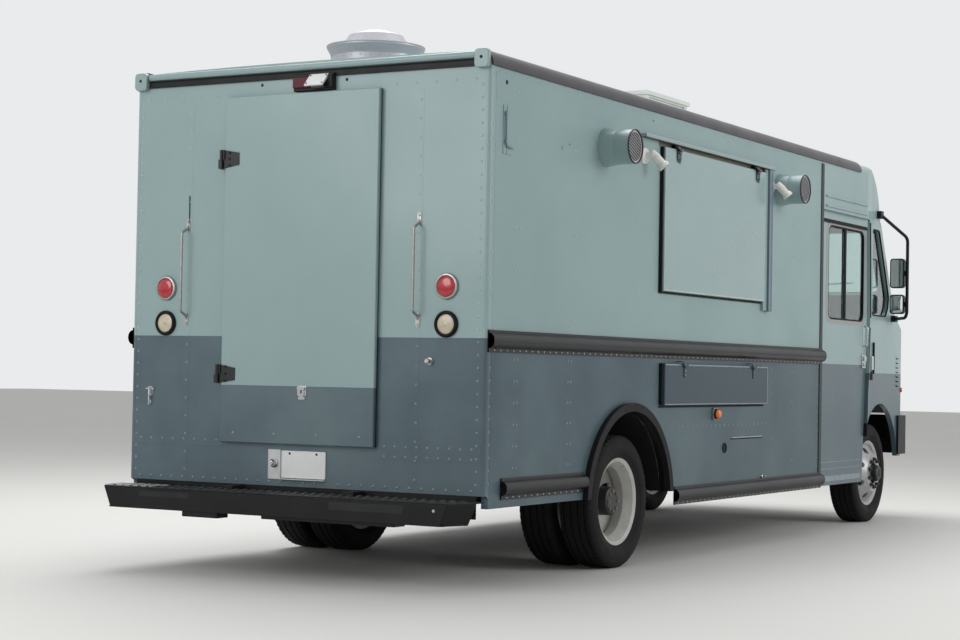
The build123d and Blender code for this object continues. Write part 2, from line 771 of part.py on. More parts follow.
with BuildPart() as load_floor:
    deck_z = (floor_top - floor_plate, floor_top)
    block((rear_face + wall, body_front), (-load_floor_half, load_floor_half), deck_z)
    block((rear_face + wall, floor_step_x), (-inner_half, inner_half), deck_z)
    for step in range(sill_count):
        x = station(sill_inset + step * sill_pitch)
        block((x - sill_half, x + sill_half), (-load_floor_half, load_floor_half), (rail_top, floor_top - floor_plate))
    for side in (-1, 1):
        with BuildSketch(side_plane(side * inner_half)) as well_space:
            with Locations((rear_arch_x, rear_arch_z)):
                Circle(well_outer + seat_gap)
        extrude(well_space.sketch, amount=side * (arch_well_depth + well_skin), mode=Mode.SUBTRACT)
save(load_floor.part, "load_floor")

with BuildPart() as wheel_wells:
    arch_foot = rear_arch_z + 50
    for side in (-1, 1):
        extrude(arch_ring(side * inner_half, well_outer, arch_foot), amount=side * arch_well_depth)
        extrude(arch_ring(side * half_width, rear_arch_radius + flare_width, arch_foot), amount=-side * flare_reach)
        with BuildSketch(side_plane(side * well_inner_y)) as end_plate:
            with Locations((rear_arch_x, rear_arch_z)):
                Circle(well_outer)
            with Locations((rear_arch_x, floor_top - floor_plate)):
                Rectangle(3 * well_outer, 4 * well_outer, align=(Align.CENTER, Align.MAX), mode=Mode.SUBTRACT)
        extrude(end_plate.sketch, amount=side * well_skin)
save(wheel_wells.part, "wheel_wells")

bulkhead_thickness = 30
bulkhead_door_half = 340
bulkhead_door_top = 2640
with BuildPart() as bulkhead:
    bulkhead_x = (body_front - bulkhead_thickness, body_front)
    block(bulkhead_x, (4 - load_floor_half, load_floor_half - 4), (floor_top, roof_edge_z - roof_skin - 4))
    block(bulkhead_x, (-bulkhead_door_half, bulkhead_door_half), (floor_top, bulkhead_door_top), mode=Mode.SUBTRACT)
save(bulkhead.part, "bulkhead")

# Cab floor: raised deck, a step well beside each door and wheel houses ahead
step_z = 400
step_plate = 30
deck_half = 700
riser = 20
toe_x = station(axle_station - 520)
wheel_house_top = 1030
wheel_house_front = station(axle_station + 360)
step_outer = door_inner - moving_gap
with BuildPart() as cab_floor:
    block((body_front, toe_x), (-deck_half, deck_half), deck_z)
    block((toe_x, toe_x + riser), (-step_outer, step_outer), (floor_top - floor_plate, wheel_house_top - riser))
    for side in (-1, 1):
        block((body_front, toe_x), (side * (deck_half - riser), side * step_outer), (step_z - step_plate, step_z))
        block((body_front, toe_x), (side * (deck_half - riser), side * deck_half), (step_z - step_plate, floor_top))
        block((toe_x, toe_x + riser), (side * (deck_half - riser), side * step_outer), (step_z - step_plate, floor_top))
    house_half = cab_nose_half - cab_skin
    block((toe_x, wheel_house_front), (-house_half, house_half), (wheel_house_top - riser, wheel_house_top))
save(cab_floor.part, "cab_floor")

# Cab glass: two windscreen panes and two quarter panes, let into the windscreen frame
with BuildPart() as cab_glass:
    extrude(screen_panes(cab_skin / 2 + 4, seat_gap), amount=glass_thickness)
    for side in (-1, 1):
        extrude(quarter_pane(side, cab_skin / 2 + 2, seat_gap), amount=glass_thickness / 2, both=True)
save(cab_glass.part, "cab_glass")

# Dash, steering column and seat
driver_y = 420
wheel_centre = (station(axle_station - 410), driver_y, 1330)
wheel_tilt = 55
wheel_radius = 225
wheel_rim = 14
column_radius = 34
shaft_radius = 9
dash_foot = 1100
dash_outline = [(-240, 140), (-210, 300), (-120, 350), (240, 370), (240, 60), (-60, 0)]
with BuildPart() as dash:
    with BuildSketch(side_plane(-cab_half)):
        flat_outline([(station(axle_station + ahead), dash_foot + rise) for ahead, rise in dash_outline])
    extrude(amount=-2 * cab_half)
    add(cab_prism(cab_skin + seat_gap), mode=Mode.INTERSECT)
    tilt = radians(wheel_tilt)
    column = Plane(origin=wheel_centre, x_dir=(0, 1, 0), z_dir=(cos(tilt), 0, -sin(tilt)))
    with BuildSketch(column.offset(45)):
        Circle(column_radius)
    extrude(amount=285)
    block((station(axle_station - 310), station(axle_station - 120)), (driver_y - 26, driver_y + 26), (dash_foot + 20, dash_foot + 160))
    with BuildSketch(column.offset(-20)):
        Circle(shaft_radius)
    extrude(amount=80)
save(dash.part, "dash")

with BuildPart() as steering_wheel:
    with BuildSketch(Plane(origin=wheel_centre, x_dir=(0, 1, 0), z_dir=column.x_dir.cross(column.z_dir))):
        with Locations((wheel_radius, 0)):
            RegularPolygon(wheel_rim, 8)
    revolve(axis=Axis(wheel_centre, column.z_dir))
    with BuildSketch(column.offset(-26)):
        Circle(48)
    extrude(amount=30)
    with BuildSketch(column.offset(-10)):
        for angle in (90, 210, 330):
            with Locations(Location((0, 0, 0), (0, 0, angle))):
                with Locations((wheel_radius / 2, 0)):
                    Rectangle(wheel_radius - 8, 30)
    extrude(amount=10)
    with BuildSketch(column.offset(-60)):
        Circle(shaft_radius + seat_gap)
    extrude(amount=200, mode=Mode.SUBTRACT)
save(steering_wheel.part, "steering_wheel")

seat_z = floor_top + 270
seat_half = 240
seat_outline = [(-230, 0), (270, 0), (290, 110), (-90, 90), (-250, 700), (-350, 690), (-270, 70)]
with BuildPart() as driver_seat:
    seat_x = wheel_centre[0] - 570
    block((seat_x - 60, seat_x + 160), (driver_y - 90, driver_y + 90), (floor_top, seat_z))
    with BuildSketch(side_plane(driver_y - seat_half)):
        flat_outline([(seat_x + ahead, seat_z + rise) for ahead, rise in seat_outline])
    extrude(amount=-2 * seat_half)
    fillet(edges().filter_by(Axis.X, reverse=True).filter_by(Axis.Y, reverse=True).filter_by(Axis.Z, reverse=True), 20)
save(driver_seat.part, "driver_seat")

# Chassis frame: two channel rails with cross-members
rail_bottom = rail_top - rail_height
web_half = rail_outer - rail_thickness
cross_rear = (rail_rear + 10, rear_overhang - 810)
cross_middle = tuple(rear_overhang + ahead for ahead in (890, 1790, 2590))
with BuildPart() as chassis_frame:
    for side in (-1, 1):
        lip = side * (rail_outer - rail_flange_width)
        block((station(rail_rear), station(rail_front)), (lip, side * rail_outer), (rail_bottom, rail_top))
        block((station(rail_rear), station(rail_front)), (lip, side * web_half), (rail_bottom + rail_thickness, rail_top - rail_thickness),
              mode=Mode.SUBTRACT)
    for distance in (*cross_rear, *cross_middle, rail_front - 100):
        block((station(distance), station(distance) + 60), (-web_half, web_half), (rail_top - 160, rail_top - 40))
    block((front_axle_x - 80, front_axle_x), (-web_half, web_half), (rail_bottom, rail_bottom + 30))
save(chassis_frame.part, "chassis_frame")

# Spring hangers: forked brackets on the rails' outer faces, each with its pin
eye_z = rail_bottom - hanger_pin_drop
with BuildPart() as spring_hangers:
    for axle_x, reach in ((rear_axle_x, rear_leaf_half), (front_axle_x, front_leaf_half)):
        for side in (-1, 1):
            gap = spring_width / 2 + seat_gap
            far = side * (spring_y + spring_width / 2 + hanger_wall)
            for x in (axle_x - reach, axle_x + reach):
                along = (x - hanger_length / 2, x + hanger_length / 2)
                block(along, (side * rail_outer, far), (rail_bottom - hanger_height / 2, rail_bottom + hanger_height / 2))
                block(along, (side * spring_y - gap, side * spring_y + gap), (rail_bottom - hanger_height, rail_bottom + 20),
                      mode=Mode.SUBTRACT)
                rod((x, side * spring_y - spring_width / 2 - 6, eye_z), (0, 1, 0), spring_pin, spring_width + 12)
save(spring_hangers.part, "spring_hangers")

# Leaves of a spring, longest first, each by its share of the spring's length
leaf_shares = (1, 0.72, 0.45)
spring_seat_z = eye_z - leaf_camber


def spring(axle_x, half_length):
    """Leaf pack: bowed leaves with an eye at each end of the longest, on both sides."""
    bow = (half_length ** 2 + leaf_camber ** 2) / (2 * leaf_camber)
    eyes = ((axle_x - half_length, eye_z), (axle_x + half_length, eye_z))
    for side in (-1, 1):
        plane = side_plane(side * spring_y + spring_width / 2)
        with BuildSketch(plane) as leaves:
            for rank, share in enumerate(leaf_shares):
                reach = half_length * share
                radius = bow + rank * leaf_thickness
                inner = radius - leaf_thickness
                centre_z = spring_seat_z + bow
                rise = centre_z - sqrt(radius ** 2 - reach ** 2)
                rise_in = centre_z - sqrt(inner ** 2 - reach ** 2)
                with BuildLine():
                    ThreePointArc((axle_x - reach, rise), (axle_x, centre_z - radius), (axle_x + reach, rise))
                    Line((axle_x + reach, rise), (axle_x + reach, rise_in))
                    ThreePointArc((axle_x + reach, rise_in), (axle_x, centre_z - inner), (axle_x - reach, rise_in))
                    Line((axle_x - reach, rise_in), (axle_x - reach, rise))
                make_face()
            with Locations(*eyes):
                Circle(spring_eye)
        extrude(leaves.sketch, amount=spring_width)
        with BuildSketch(plane) as bores:
            with Locations(*eyes):
                Circle(spring_pin + seat_gap)
        extrude(bores.sketch, amount=spring_width, mode=Mode.SUBTRACT)


# Rear axle: banjo housing, tubes and springs, with the drive shaft running up to the gearbox
hub_inner = 600
pad_top = spring_seat_z - 2 * leaf_thickness + 4
differential_radius = 155
drive_rise = radians(2.2)
drive_direction = (cos(drive_rise), 0, sin(drive_rise))
drive_start = 290
drive_length = 3100
drive_end = tuple(
    start + drive_length * share for start, share in zip((rear_axle_x + drive_start, 0, hub_z), drive_direction))
with BuildPart() as rear_axle:
    spring(rear_axle_x, rear_leaf_half)
    rod((rear_axle_x, -hub_inner, hub_z), (0, 1, 0), axle_tube, 2 * hub_inner)
    rod((rear_axle_x, -rear_outer_half - 30, hub_z), (0, 1, 0), spindle_radius, 2 * (rear_outer_half + 30))
    turned([(-110, 0), (-110, axle_tube + 20), (-50, differential_radius), (50, differential_radius), (110, axle_tube + 20), (110, 0)],
           (rear_axle_x, hub_z))
    with Locations(Plane((rear_axle_x, 0, hub_z), x_dir=(0, 1, 0), z_dir=(1, 0, 0))):
        Cone(110, 55, 300, align=(Align.CENTER, Align.CENTER, Align.MIN))
    for side in (-1, 1):
        block((rear_axle_x - 55, rear_axle_x + 55), (side * (spring_y - 40), side * (spring_y + 40)), (hub_z, pad_top))
    rod((rear_axle_x + drive_start, 0, hub_z), drive_direction, 45, drive_length)
save(rear_axle.part, "rear_axle")

beam_z = hub_z - 40
beam_half = 38
eye_half = 44
with BuildPart() as front_axle:
    spring(front_axle_x, front_leaf_half)
    top_side = [(-kingpin_y, eye_half), (-kingpin_y + 40, eye_half), (-spring_y - 60, -10)]
    low_side = [(-kingpin_y, -eye_half), (-kingpin_y + 40, -eye_half), (-spring_y - 60, -90)]
    upper = top_side + [(-y, rise) for y, rise in reversed(top_side)]
    lower = low_side + [(-y, rise) for y, rise in reversed(low_side)]
    with BuildSketch(cross_plane(front_axle_x - beam_half)):
        flat_outline([(y, hub_z + rise) for y, rise in upper + lower[::-1]])
    extrude(amount=2 * beam_half)
    with Locations((front_axle_x, kingpin_y, hub_z), (front_axle_x, -kingpin_y, hub_z)):
        Cylinder(beam_half, 2 * eye_half)
    with Locations((front_axle_x, kingpin_y, hub_z), (front_axle_x, -kingpin_y, hub_z)):
        Cylinder(kingpin_radius + seat_gap, 200, mode=Mode.SUBTRACT)
    for side in (-1, 1):
        block((front_axle_x - 50, front_axle_x + 50), (side * (spring_y - beam_half), side * (spring_y + beam_half)), (beam_z, pad_top))
save(front_axle.part, "front_axle")

# Steering knuckles: a fork round each axle eye, with the kingpin, the spindle and a steering arm
fork_half = 36
fork_low = 92
fork_lug = 40
for side, word in ((-1, "right"), (1, "left")):
    with BuildPart() as knuckle:
        fork_x = (front_axle_x - fork_half, front_axle_x + fork_half)
        for low in (hub_z - fork_low, hub_z + fork_low - fork_lug):
            block(fork_x, (side * (kingpin_y - 38), side * (kingpin_y + 55)), (low, low + fork_lug))
        block(fork_x, (side * (kingpin_y + 42), side * (kingpin_y + 60)), (hub_z - fork_low, hub_z + fork_low))
        rod((front_axle_x, side * kingpin_y, hub_z - 90), (0, 0, 1), kingpin_radius, 180)
        rod((front_axle_x, side * (kingpin_y + 50), hub_z), (0, side, 0), spindle_radius, front_track_half - kingpin_y + 10)
        arm_z = (hub_z - fork_low, hub_z - fork_low + 26)
        block((front_axle_x - 200, front_axle_x - 30), (side * (kingpin_y - 34), side * (kingpin_y - 8)), arm_z)
    save(knuckle.part, f"knuckle_{word}")


def tyre_section(centre_y):
    """Half-section of a tyre: bead, bulged side and flat tread, mirrored about its middle."""
    right = [(bead_half, rim_seat_radius + seat_gap), (tyre_width / 2, tyre_belly_radius), (tread_half, tyre_radius)]
    return [(centre_y + y, radius) for y, radius in right] + [(centre_y - y, radius) for y, radius in reversed(right)]


def rim(centre_y, out, centre):
    """Drop-centre rim with a coned disc whose mounting face stands out from the rim's middle."""
    seat = rim_seat_radius
    well = rim_well_radius
    bore = spindle_radius + seat_gap
    half = [(rim_width / 2, rim_flange_radius), (bead_half, seat), (30, well)]
    under = [(26, well - rim_thickness), (bead_half, seat - rim_thickness)]
    outline = [(-y, radius) for y, radius in half] + half[::-1] + under[::-1] + [(-y, radius) for y, radius in under]
    turned([(centre_y + y, radius) for y, radius in outline], centre)
    face = disc_offset
    disc = [(62, well + 17), (face, 150), (face, bore), (face - 12, bore), (face - 12, 142), (50, well + 10)]
    turned([(centre_y + out * y, radius) for y, radius in disc], centre)


def cut_hand_holes(centre, y_range):
    """Ring of round hand holes through the discs between two places on the axle."""
    with BuildSketch(side_plane(y_range[1])) as holes:
        with Locations(centre):
            with PolarLocations(hand_hole_ring, hand_hole_count, start_angle=180 / hand_hole_count):
                Circle(hand_hole_radius)
    extrude(holes.sketch, amount=y_range[1] - y_range[0], mode=Mode.SUBTRACT)


# Wheels: a tyre on its rim, single in front and twin behind, with hubs that turn on the spindles
front_centre = (front_axle_x, hub_z)
rear_centre = (rear_axle_x, hub_z)
bore_radius = spindle_radius + seat_gap
hub_cap = 10
for side, word in ((-1, "right"), (1, "left")):
    with BuildPart() as front_tyre:
        turned(tyre_section(side * front_track_half), front_centre)
    save(front_tyre.part, f"front_tyre_{word}")
    with BuildPart() as front_wheel:
        rim(side * front_track_half, side, front_centre)
        cut_hand_holes(front_centre, (side * (front_track_half + 50), side * (front_track_half + disc_offset)))
        start, end = kingpin_y + 66, front_track_half + disc_offset + 52
        face = front_track_half + disc_offset - 6
        hub = [(start, bore_radius), (start, 105), (face, 105), (face, 66), (end - 8, 62), (end, 50), (end, 0), (end - hub_cap, 0),
               (end - hub_cap, bore_radius)]
        turned([(side * y, radius) for y, radius in hub], front_centre)
    save(front_wheel.part, f"front_wheel_{word}")
    with BuildPart() as rear_tyres:
        for place in (rear_outer_half, rear_outer_half - twin_spacing):
            turned(tyre_section(side * place), rear_centre)
    save(rear_tyres.part, f"rear_tyres_{word}")
    with BuildPart() as rear_wheels:
        joint_y = rear_outer_half - twin_spacing / 2
        rim(side * rear_outer_half, -side, rear_centre)
        rim(side * (rear_outer_half - twin_spacing), side, rear_centre)
        cut_hand_holes(rear_centre, (side * (joint_y - 72), side * (joint_y + 72)))
        start, end = hub_inner + 8, rear_outer_half + 60
        drum_end = joint_y - 12
        hub = [(start, bore_radius), (start, 150), (drum_end, 150), (drum_end, 90), (end - 10, 84), (end, 72), (end, 0), (end - hub_cap, 0),
               (end - hub_cap, bore_radius)]
        turned([(side * y, radius) for y, radius in hub], rear_centre)
    save(rear_wheels.part, f"rear_wheels_{word}")

# Engine block with its bell housing and gearbox, seated against the drive shaft's end
engine_rear = axle_station - 290
engine_front = axle_station + 540
engine_half = 300
gearbox_z = rail_bottom + 60
tail_radius = 62
tail_length = 400
gearbox_sections = ((engine_rear - 800, 150, 150), (engine_rear - 260, 250, 230), (engine_rear - seat_gap, 480, 260))
with BuildPart() as engine_block:
    block((station(engine_rear), station(engine_front)), (-engine_half, engine_half), (rail_bottom + 30, rail_top + 250))
    tail = tuple(end + seat_gap * share for end, share in zip(drive_end, drive_direction))
    rod(tail, drive_direction, tail_radius, tail_length)
    for distance, width, height in gearbox_sections:
        with BuildSketch(cross_plane(station(distance))):
            with Locations((0, gearbox_z)):
                RectangleRounded(width, height, 40)
    loft()
save(engine_block.part, "engine_block")

tank_rear = rear_overhang + 1190
tank_length = 800
tank_width = 420
tank_z = (400, 700)
with BuildPart() as fuel_tank:
    block((station(tank_rear), station(tank_rear + tank_length)), (rail_outer, rail_outer + tank_width), tank_z)
    fillet(edges().filter_by(Axis.X), 50)
save(fuel_tank.part, "fuel_tank")

muffler_radius = 115
muffler_length = 800
tailpipe_radius = 32
tailpipe_length = 1500
exhaust_y = 560
exhaust_z = 560
exhaust_station = rear_overhang + 1590
with BuildPart() as exhaust_pipe:
    exhaust_x = station(exhaust_station)
    rod((exhaust_x - muffler_length / 2, -exhaust_y, exhaust_z), (1, 0, 0), muffler_radius, muffler_length)
    rod((exhaust_x - tailpipe_length / 2, -exhaust_y, exhaust_z), (1, 0, 0), tailpipe_radius, tailpipe_length)
    crown = exhaust_z + muffler_radius
    for x in (exhaust_x - 280, exhaust_x + 280):
        block((x - 20, x + 20), (-exhaust_y - 12, -rail_outer), (crown + 12, crown + 18))
        block((x - 20, x + 20), (-exhaust_y - 12, -exhaust_y + 12), (crown - 6, crown + 14))
save(exhaust_pipe.part, "exhaust_pipe")

# Rear step bumper: a folded tread with bevelled ends, open below, on two arms and with lower guards
step_half = half_width + 20
step_top = 478
step_depth = 92
step_plate_thickness = 8
step_bevel = (195, 70)


def step_plan(inset):
    """Half of the step seen from above, drawn inset by its plate, and its mirror image."""
    rear = rear_face - rear_step_reach + inset
    half = [(rear, step_half - step_bevel[1] - inset / 2), (rear + step_bevel[0] - inset, step_half - inset), (rear_face - 20, step_half - inset)]
    flat_outline(half + [(x, -y) for x, y in reversed(half)])


with BuildPart() as rear_step:
    with BuildSketch(Plane.XY.offset(step_top - step_depth)):
        step_plan(0)
    extrude(amount=step_depth)
    with BuildSketch(Plane.XY.offset(step_top - step_depth)):
        step_plan(step_plate_thickness)
    extrude(amount=step_depth - step_plate_thickness, mode=Mode.SUBTRACT)
    for side in (-1, 1):
        arm_y = (side * (rail_outer - rail_flange_width), side * rail_outer)
        block((rear_face - rear_step_reach + 4, station(rail_rear)), arm_y, (step_top - step_depth, step_top - 4))
        block((rear_face - 30, station(rail_rear)), arm_y, (step_top - step_depth, rear_bottom - 4))
        block((rear_face + wall + 8, station(rail_rear)), arm_y, (step_top - step_depth, rail_bottom + 80))
save(rear_step.part, "rear_step")

# Rub rails along both sides: a rounded strip between two flanges. Each is (start, end, low, high)
side_rails = (
    (10, body_length, belt_bottom, belt_top),
    (*rear_low_rail, rear_low_rail_bottom, rear_low_rail_bottom + low_rail_height),
    (front_low_rail_start, body_length, front_low_rail_bottom, front_low_rail_bottom + low_rail_height),
)
corner_y = half_width - roof_corner
corner_z = roof_edge_z - roof_corner
pillar_strip = (50, 6)


def rail_section(x, side, low, high):
    """Cross-section of a rub rail at x: half round standing on a flat flange."""
    flat = side * half_width
    skin = side * (half_width + rail_flange)
    face = side * (half_width + rail_reach)
    bulge = (low + rail_lip, high - rail_lip * 0.7)
    with BuildSketch(cross_plane(x)) as section:
        with BuildLine():
            Polyline((flat, low), (skin, low), (skin, bulge[0]))
            ThreePointArc((skin, bulge[0]), (face, sum(bulge) / 2), (skin, bulge[1]))
            Polyline((skin, bulge[1]), (skin, high), (flat, high), (flat, low))
        make_face()
    return section.sketch


with BuildPart() as rub_rails:
    for side in (-1, 1):
        for start, end, low, high in side_rails:
            extrude(rail_section(station(start), side, low, high), amount=end - start)
        strip_y = (side * half_width, side * (half_width + pillar_strip[1]))
        front_low_top = front_low_rail_bottom + low_rail_height
        for strip_z in ((front_low_top + seat_gap, belt_bottom - seat_gap), (belt_top + seat_gap, wall_top)):
            block((body_front - pillar_strip[0], body_front), strip_y, strip_z)
        with BuildSketch(cross_plane(rear_face)) as drip_rail:
            with Locations((side * corner_y, corner_z)):
                Circle(roof_corner + strip_thickness)
                Circle(roof_corner + seat_gap, mode=Mode.SUBTRACT)
                with Locations((-side * 190, 0), (0, -200)):
                    Rectangle(400, 400, mode=Mode.SUBTRACT)
        extrude(drip_rail.sketch, amount=roof_rail_end)
save(rub_rails.part, "rub_rails")

# Roof exhaust fan: curb, spun drum with a rolled and flared rim, and a low dome over its mouth
fan_place = (station(1330), 400)
fan_profile = [
    (0, 0), (300, 0), (300, 30), (276, 42), (276, 250), (304, 300), (304, 316), (292, 316), (266, 262), (266, 150), (205, 150),
    (205, 330), (170, 385), (80, 414), (0, 420),
]
with BuildPart() as roof_fan:
    fan_foot = roof_top - 12
    with BuildSketch(Plane((*fan_place, 0), x_dir=(1, 0, 0), z_dir=(0, -1, 0))):
        flat_outline([(radius, fan_foot + rise) for radius, rise in fan_profile])
    revolve(axis=Axis((*fan_place, 0), (0, 0, 1)))
    add(roof.part, mode=Mode.SUBTRACT)
save(roof_fan.part, "roof_fan")

# Roof vent: a low box with louvre slots down its long sides, under a lid that stands out all round
vent_x = (station(2900), station(3560))
vent_y = (-720, -180)
vent_top = 3035
vent_lid = 26
with BuildPart() as roof_vent:
    block(vent_x, vent_y, (roof_top - 8, vent_top))
    add(roof.part, mode=Mode.SUBTRACT)
    for level in (2895, 2925, 2955, 2985):
        block((vent_x[0] + 40, vent_x[1] - 40), (vent_y[0], vent_y[0] + 14), (level, level + 12), mode=Mode.SUBTRACT)
        block((vent_x[0] + 40, vent_x[1] - 40), (vent_y[1] - 14, vent_y[1]), (level, level + 12), mode=Mode.SUBTRACT)
    block((vent_x[0] - 15, vent_x[1] + 15), (vent_y[0] - 15, vent_y[1] + 15), (vent_top - vent_lid, vent_top))
save(roof_vent.part, "roof_vent")

# Vent pods: a tapered foot and a drum whose recessed mouth has slanted slats
pod_stations = (1370, 4150)
pod_z = 2470
pod_reach = 195
pod_radius = 100
pod_wall = 8
pod_recess = 12
slat_pitch = 22
with BuildPart() as vent_pods:
    mouth = pod_reach - pod_recess
    inner_radius = pod_radius - pod_wall
    pod_profile = [(0, 0), (0, 112), (22, 112), (90, pod_radius), (pod_reach, pod_radius), (pod_reach, inner_radius), (mouth - 12, inner_radius),
                   (mouth - 12, 0)]
    for distance in pod_stations:
        turned_out(pod_profile, (station(distance), -half_width, pod_z), (0, -1, 0))
        with BuildSketch(side_plane(-half_width - mouth + 12)) as slats:
            with Locations((station(distance), pod_z)):
                Circle(inner_radius + pod_wall / 2)
                for step in range(-4, 4):
                    with Locations(Location((0, 0, 0), (0, 0, 45))):
                        with Locations(((step + 0.5) * slat_pitch, 0)):
                            Rectangle(slat_pitch / 2, 2 * sqrt(inner_radius ** 2 - ((abs(step + 0.5) + 0.25) * slat_pitch) ** 2) - 4, mode=Mode.SUBTRACT)
        extrude(slats.sketch, amount=12)
save(vent_pods.part, "vent_pods")

# Spot lamps: a round foot, a short neck and a tilted lamp body with a flared bezel
lamp_stations = (1906, 3985)
lamp_z = 2480
lamp_body = [(-26, 0), (-26, 22), (0, 27), (66, 28), (76, 36), (96, 36), (96, 31), (86, 28), (86, 0)]
with BuildPart() as spot_lamps:
    for distance in lamp_stations:
        turned_out([(0, 0), (0, 46), (8, 46), (14, 20), (60, 18), (60, 0)], (station(distance), -half_width, lamp_z), (0, -1, 0))
        turned_out(lamp_body, (station(distance) + 12, -half_width - 56, lamp_z), (0.3, -0.6, -0.74))
save(spot_lamps.part, "spot_lamps")

# Rear lamps: two round lamps a side, and the high lamp on its channel under the roof's edge
lamp_y = 935
round_lamp = [(0, 0), (0, 70), (8, 70), (20, 60), (20, 54), (26, 46), (28, 0)]
high_lamp_z = (2683, 2777)
channel_z = (2757, 2796)
with BuildPart() as rear_lamps:
    for z in (1600, 1400):
        for side in (-1, 1):
            turned_out(round_lamp, (rear_face, side * lamp_y, z), (-1, 0, 0))
    block((rear_face - 60, rear_face), (-189, 81), high_lamp_z)
    block((rear_face - 16, rear_face), (-1076, 1076), channel_z)
save(rear_lamps.part, "rear_lamps")

with BuildPart() as head_lamps:
    lamp_radius = headlamp_radius - seat_gap
    for side in (-1, 1):
        seat = (station(nose_face) - 60, side * headlamp_y, headlamp_z)
        turned_out([(0, 0), (0, lamp_radius), (62, lamp_radius), (62, lamp_radius - 10), (70, lamp_radius - 34), (74, 0)], seat, (1, 0, 0))
save(head_lamps.part, "head_lamps")

# Grab handles beside the rear door: a round bar bent in at both ends to flat lugs
handle_reach = 62
handle_bar = 8
handle_half = 270
handle_z = 1690
lug = (25, 70, 6)
with BuildPart() as grab_handles:
    for bar_y in (790, -757):
        with BuildLine():
            bar = FilletPolyline(
                (rear_face - lug[2] / 2, bar_y, handle_z - handle_half), (rear_face - handle_reach, bar_y, handle_z - handle_half),
                (rear_face - handle_reach, bar_y, handle_z + handle_half), (rear_face - lug[2] / 2, bar_y, handle_z + handle_half), radius=20)
        with BuildSketch(Plane(origin=bar @ 0, z_dir=bar % 0)):
            Circle(handle_bar)
        sweep()
        for foot in (handle_z - handle_half - lug[1] + 10, handle_z + handle_half - 10):
            block((rear_face - lug[2], rear_face), (bar_y - lug[0] / 2, bar_y + lug[0] / 2), (foot, foot + lug[1]))
save(grab_handles.part, "grab_handles")

# Mirrors: a tube arm bowed out ahead of each door carries a flat and a convex head on its inner side
mirror_x = station(axle_station + 150)
mirror_arm_y = half_width + 122
mirror_tube = 13
mirror_inner_y = half_width - 15
mirror_heads = ((1895, 2135), (1685, 1842))
mirror_top = (station(axle_station - 140), cab_half + 17, 2470)
mirror_foot = (station(axle_station + 330), cab_half - 5, 1650)
with BuildPart() as mirrors:
    for side in (-1, 1):
        top = (mirror_top[0], side * mirror_top[1], mirror_top[2])
        foot = (mirror_foot[0], side * mirror_foot[1], mirror_foot[2])
        with BuildLine():
            arm = FilletPolyline(top, (mirror_x, side * mirror_arm_y, 2300), (mirror_x, side * mirror_arm_y, 1655), foot, radius=60)
        with BuildSketch(Plane(origin=arm @ 0, z_dir=arm % 0)):
            Circle(mirror_tube)
        sweep()
        head_width = mirror_arm_y - mirror_tube - 7 - mirror_inner_y
        for low, high in mirror_heads:
            middle = (low + high) / 2
            with BuildSketch(cross_plane(mirror_x - 24)):
                with Locations((side * (mirror_inner_y + head_width / 2), middle)):
                    RectangleRounded(head_width, high - low, 24)
            extrude(amount=44)
            block((mirror_x - 10, mirror_x + 10), (side * (mirror_arm_y - mirror_tube - 10), side * mirror_arm_y), (middle - 20, middle + 20))
        block((mirror_top[0] - 30, mirror_top[0] + 30), (side * (cab_half - 8), side * (cab_half + 30)), (2440, 2500))
        block((mirror_foot[0] - 30, mirror_foot[0] + 30), (side * (cab_half - 35), side * (cab_half + 5)), (1626, 1676))
save(mirrors.part, "mirrors")
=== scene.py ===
"""Dresses a food truck built on a walk-in step van: two-tone paint, rubber rails, wheels, lamps and cab.

Everything is in metres in the truck's own frame: +X forward, +Y to its left, +Z up, ground at z = 0.
"""

import logging
from collections.abc import Iterable, Sequence
from dataclasses import dataclass
from enum import Enum
from math import copysign, cos, pi, radians, sin, sqrt

import bpy
from mathutils import Matrix, Vector


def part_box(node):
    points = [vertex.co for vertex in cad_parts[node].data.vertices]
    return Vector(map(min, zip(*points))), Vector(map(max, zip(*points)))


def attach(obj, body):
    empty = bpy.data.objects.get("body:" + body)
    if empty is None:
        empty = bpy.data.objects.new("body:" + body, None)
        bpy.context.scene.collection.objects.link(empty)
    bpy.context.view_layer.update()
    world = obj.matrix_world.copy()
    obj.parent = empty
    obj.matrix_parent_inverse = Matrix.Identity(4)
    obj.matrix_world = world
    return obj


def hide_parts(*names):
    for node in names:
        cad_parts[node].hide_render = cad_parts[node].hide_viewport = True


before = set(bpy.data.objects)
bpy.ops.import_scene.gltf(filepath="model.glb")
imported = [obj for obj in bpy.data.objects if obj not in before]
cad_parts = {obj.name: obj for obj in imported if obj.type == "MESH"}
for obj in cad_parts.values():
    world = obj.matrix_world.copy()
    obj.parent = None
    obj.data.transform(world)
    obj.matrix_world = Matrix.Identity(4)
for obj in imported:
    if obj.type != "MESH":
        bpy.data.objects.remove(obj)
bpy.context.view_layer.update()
LOG = logging.getLogger("food_truck")

Point = tuple[float, float, float]
Socket = bpy.types.NodeSocket
Pair = tuple[float, float]

# Directions in the truck's frame
BACK = (-1, 0, 0)
AHEAD = (1, 0, 0)
AWAY = (0, -1, 0)
UP = (0, 0, 1)

WALL = 0.04
REAR_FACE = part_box("rear_wall")[1].x - WALL
HALF_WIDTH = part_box("rear_wall")[1].y
FRONT_AXLE_X = (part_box("front_tyre_left")[0].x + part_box("front_tyre_left")[1].x) / 2
REAR_AXLE_X = (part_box("rear_tyres_left")[0].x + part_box("rear_tyres_left")[1].x) / 2
HUB_Z = (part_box("rear_tyres_left")[0].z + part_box("rear_tyres_left")[1].z) / 2


def station(distance: float) -> float:
    """X of a place given by its distance forward of the rear wall."""
    return REAR_FACE + distance


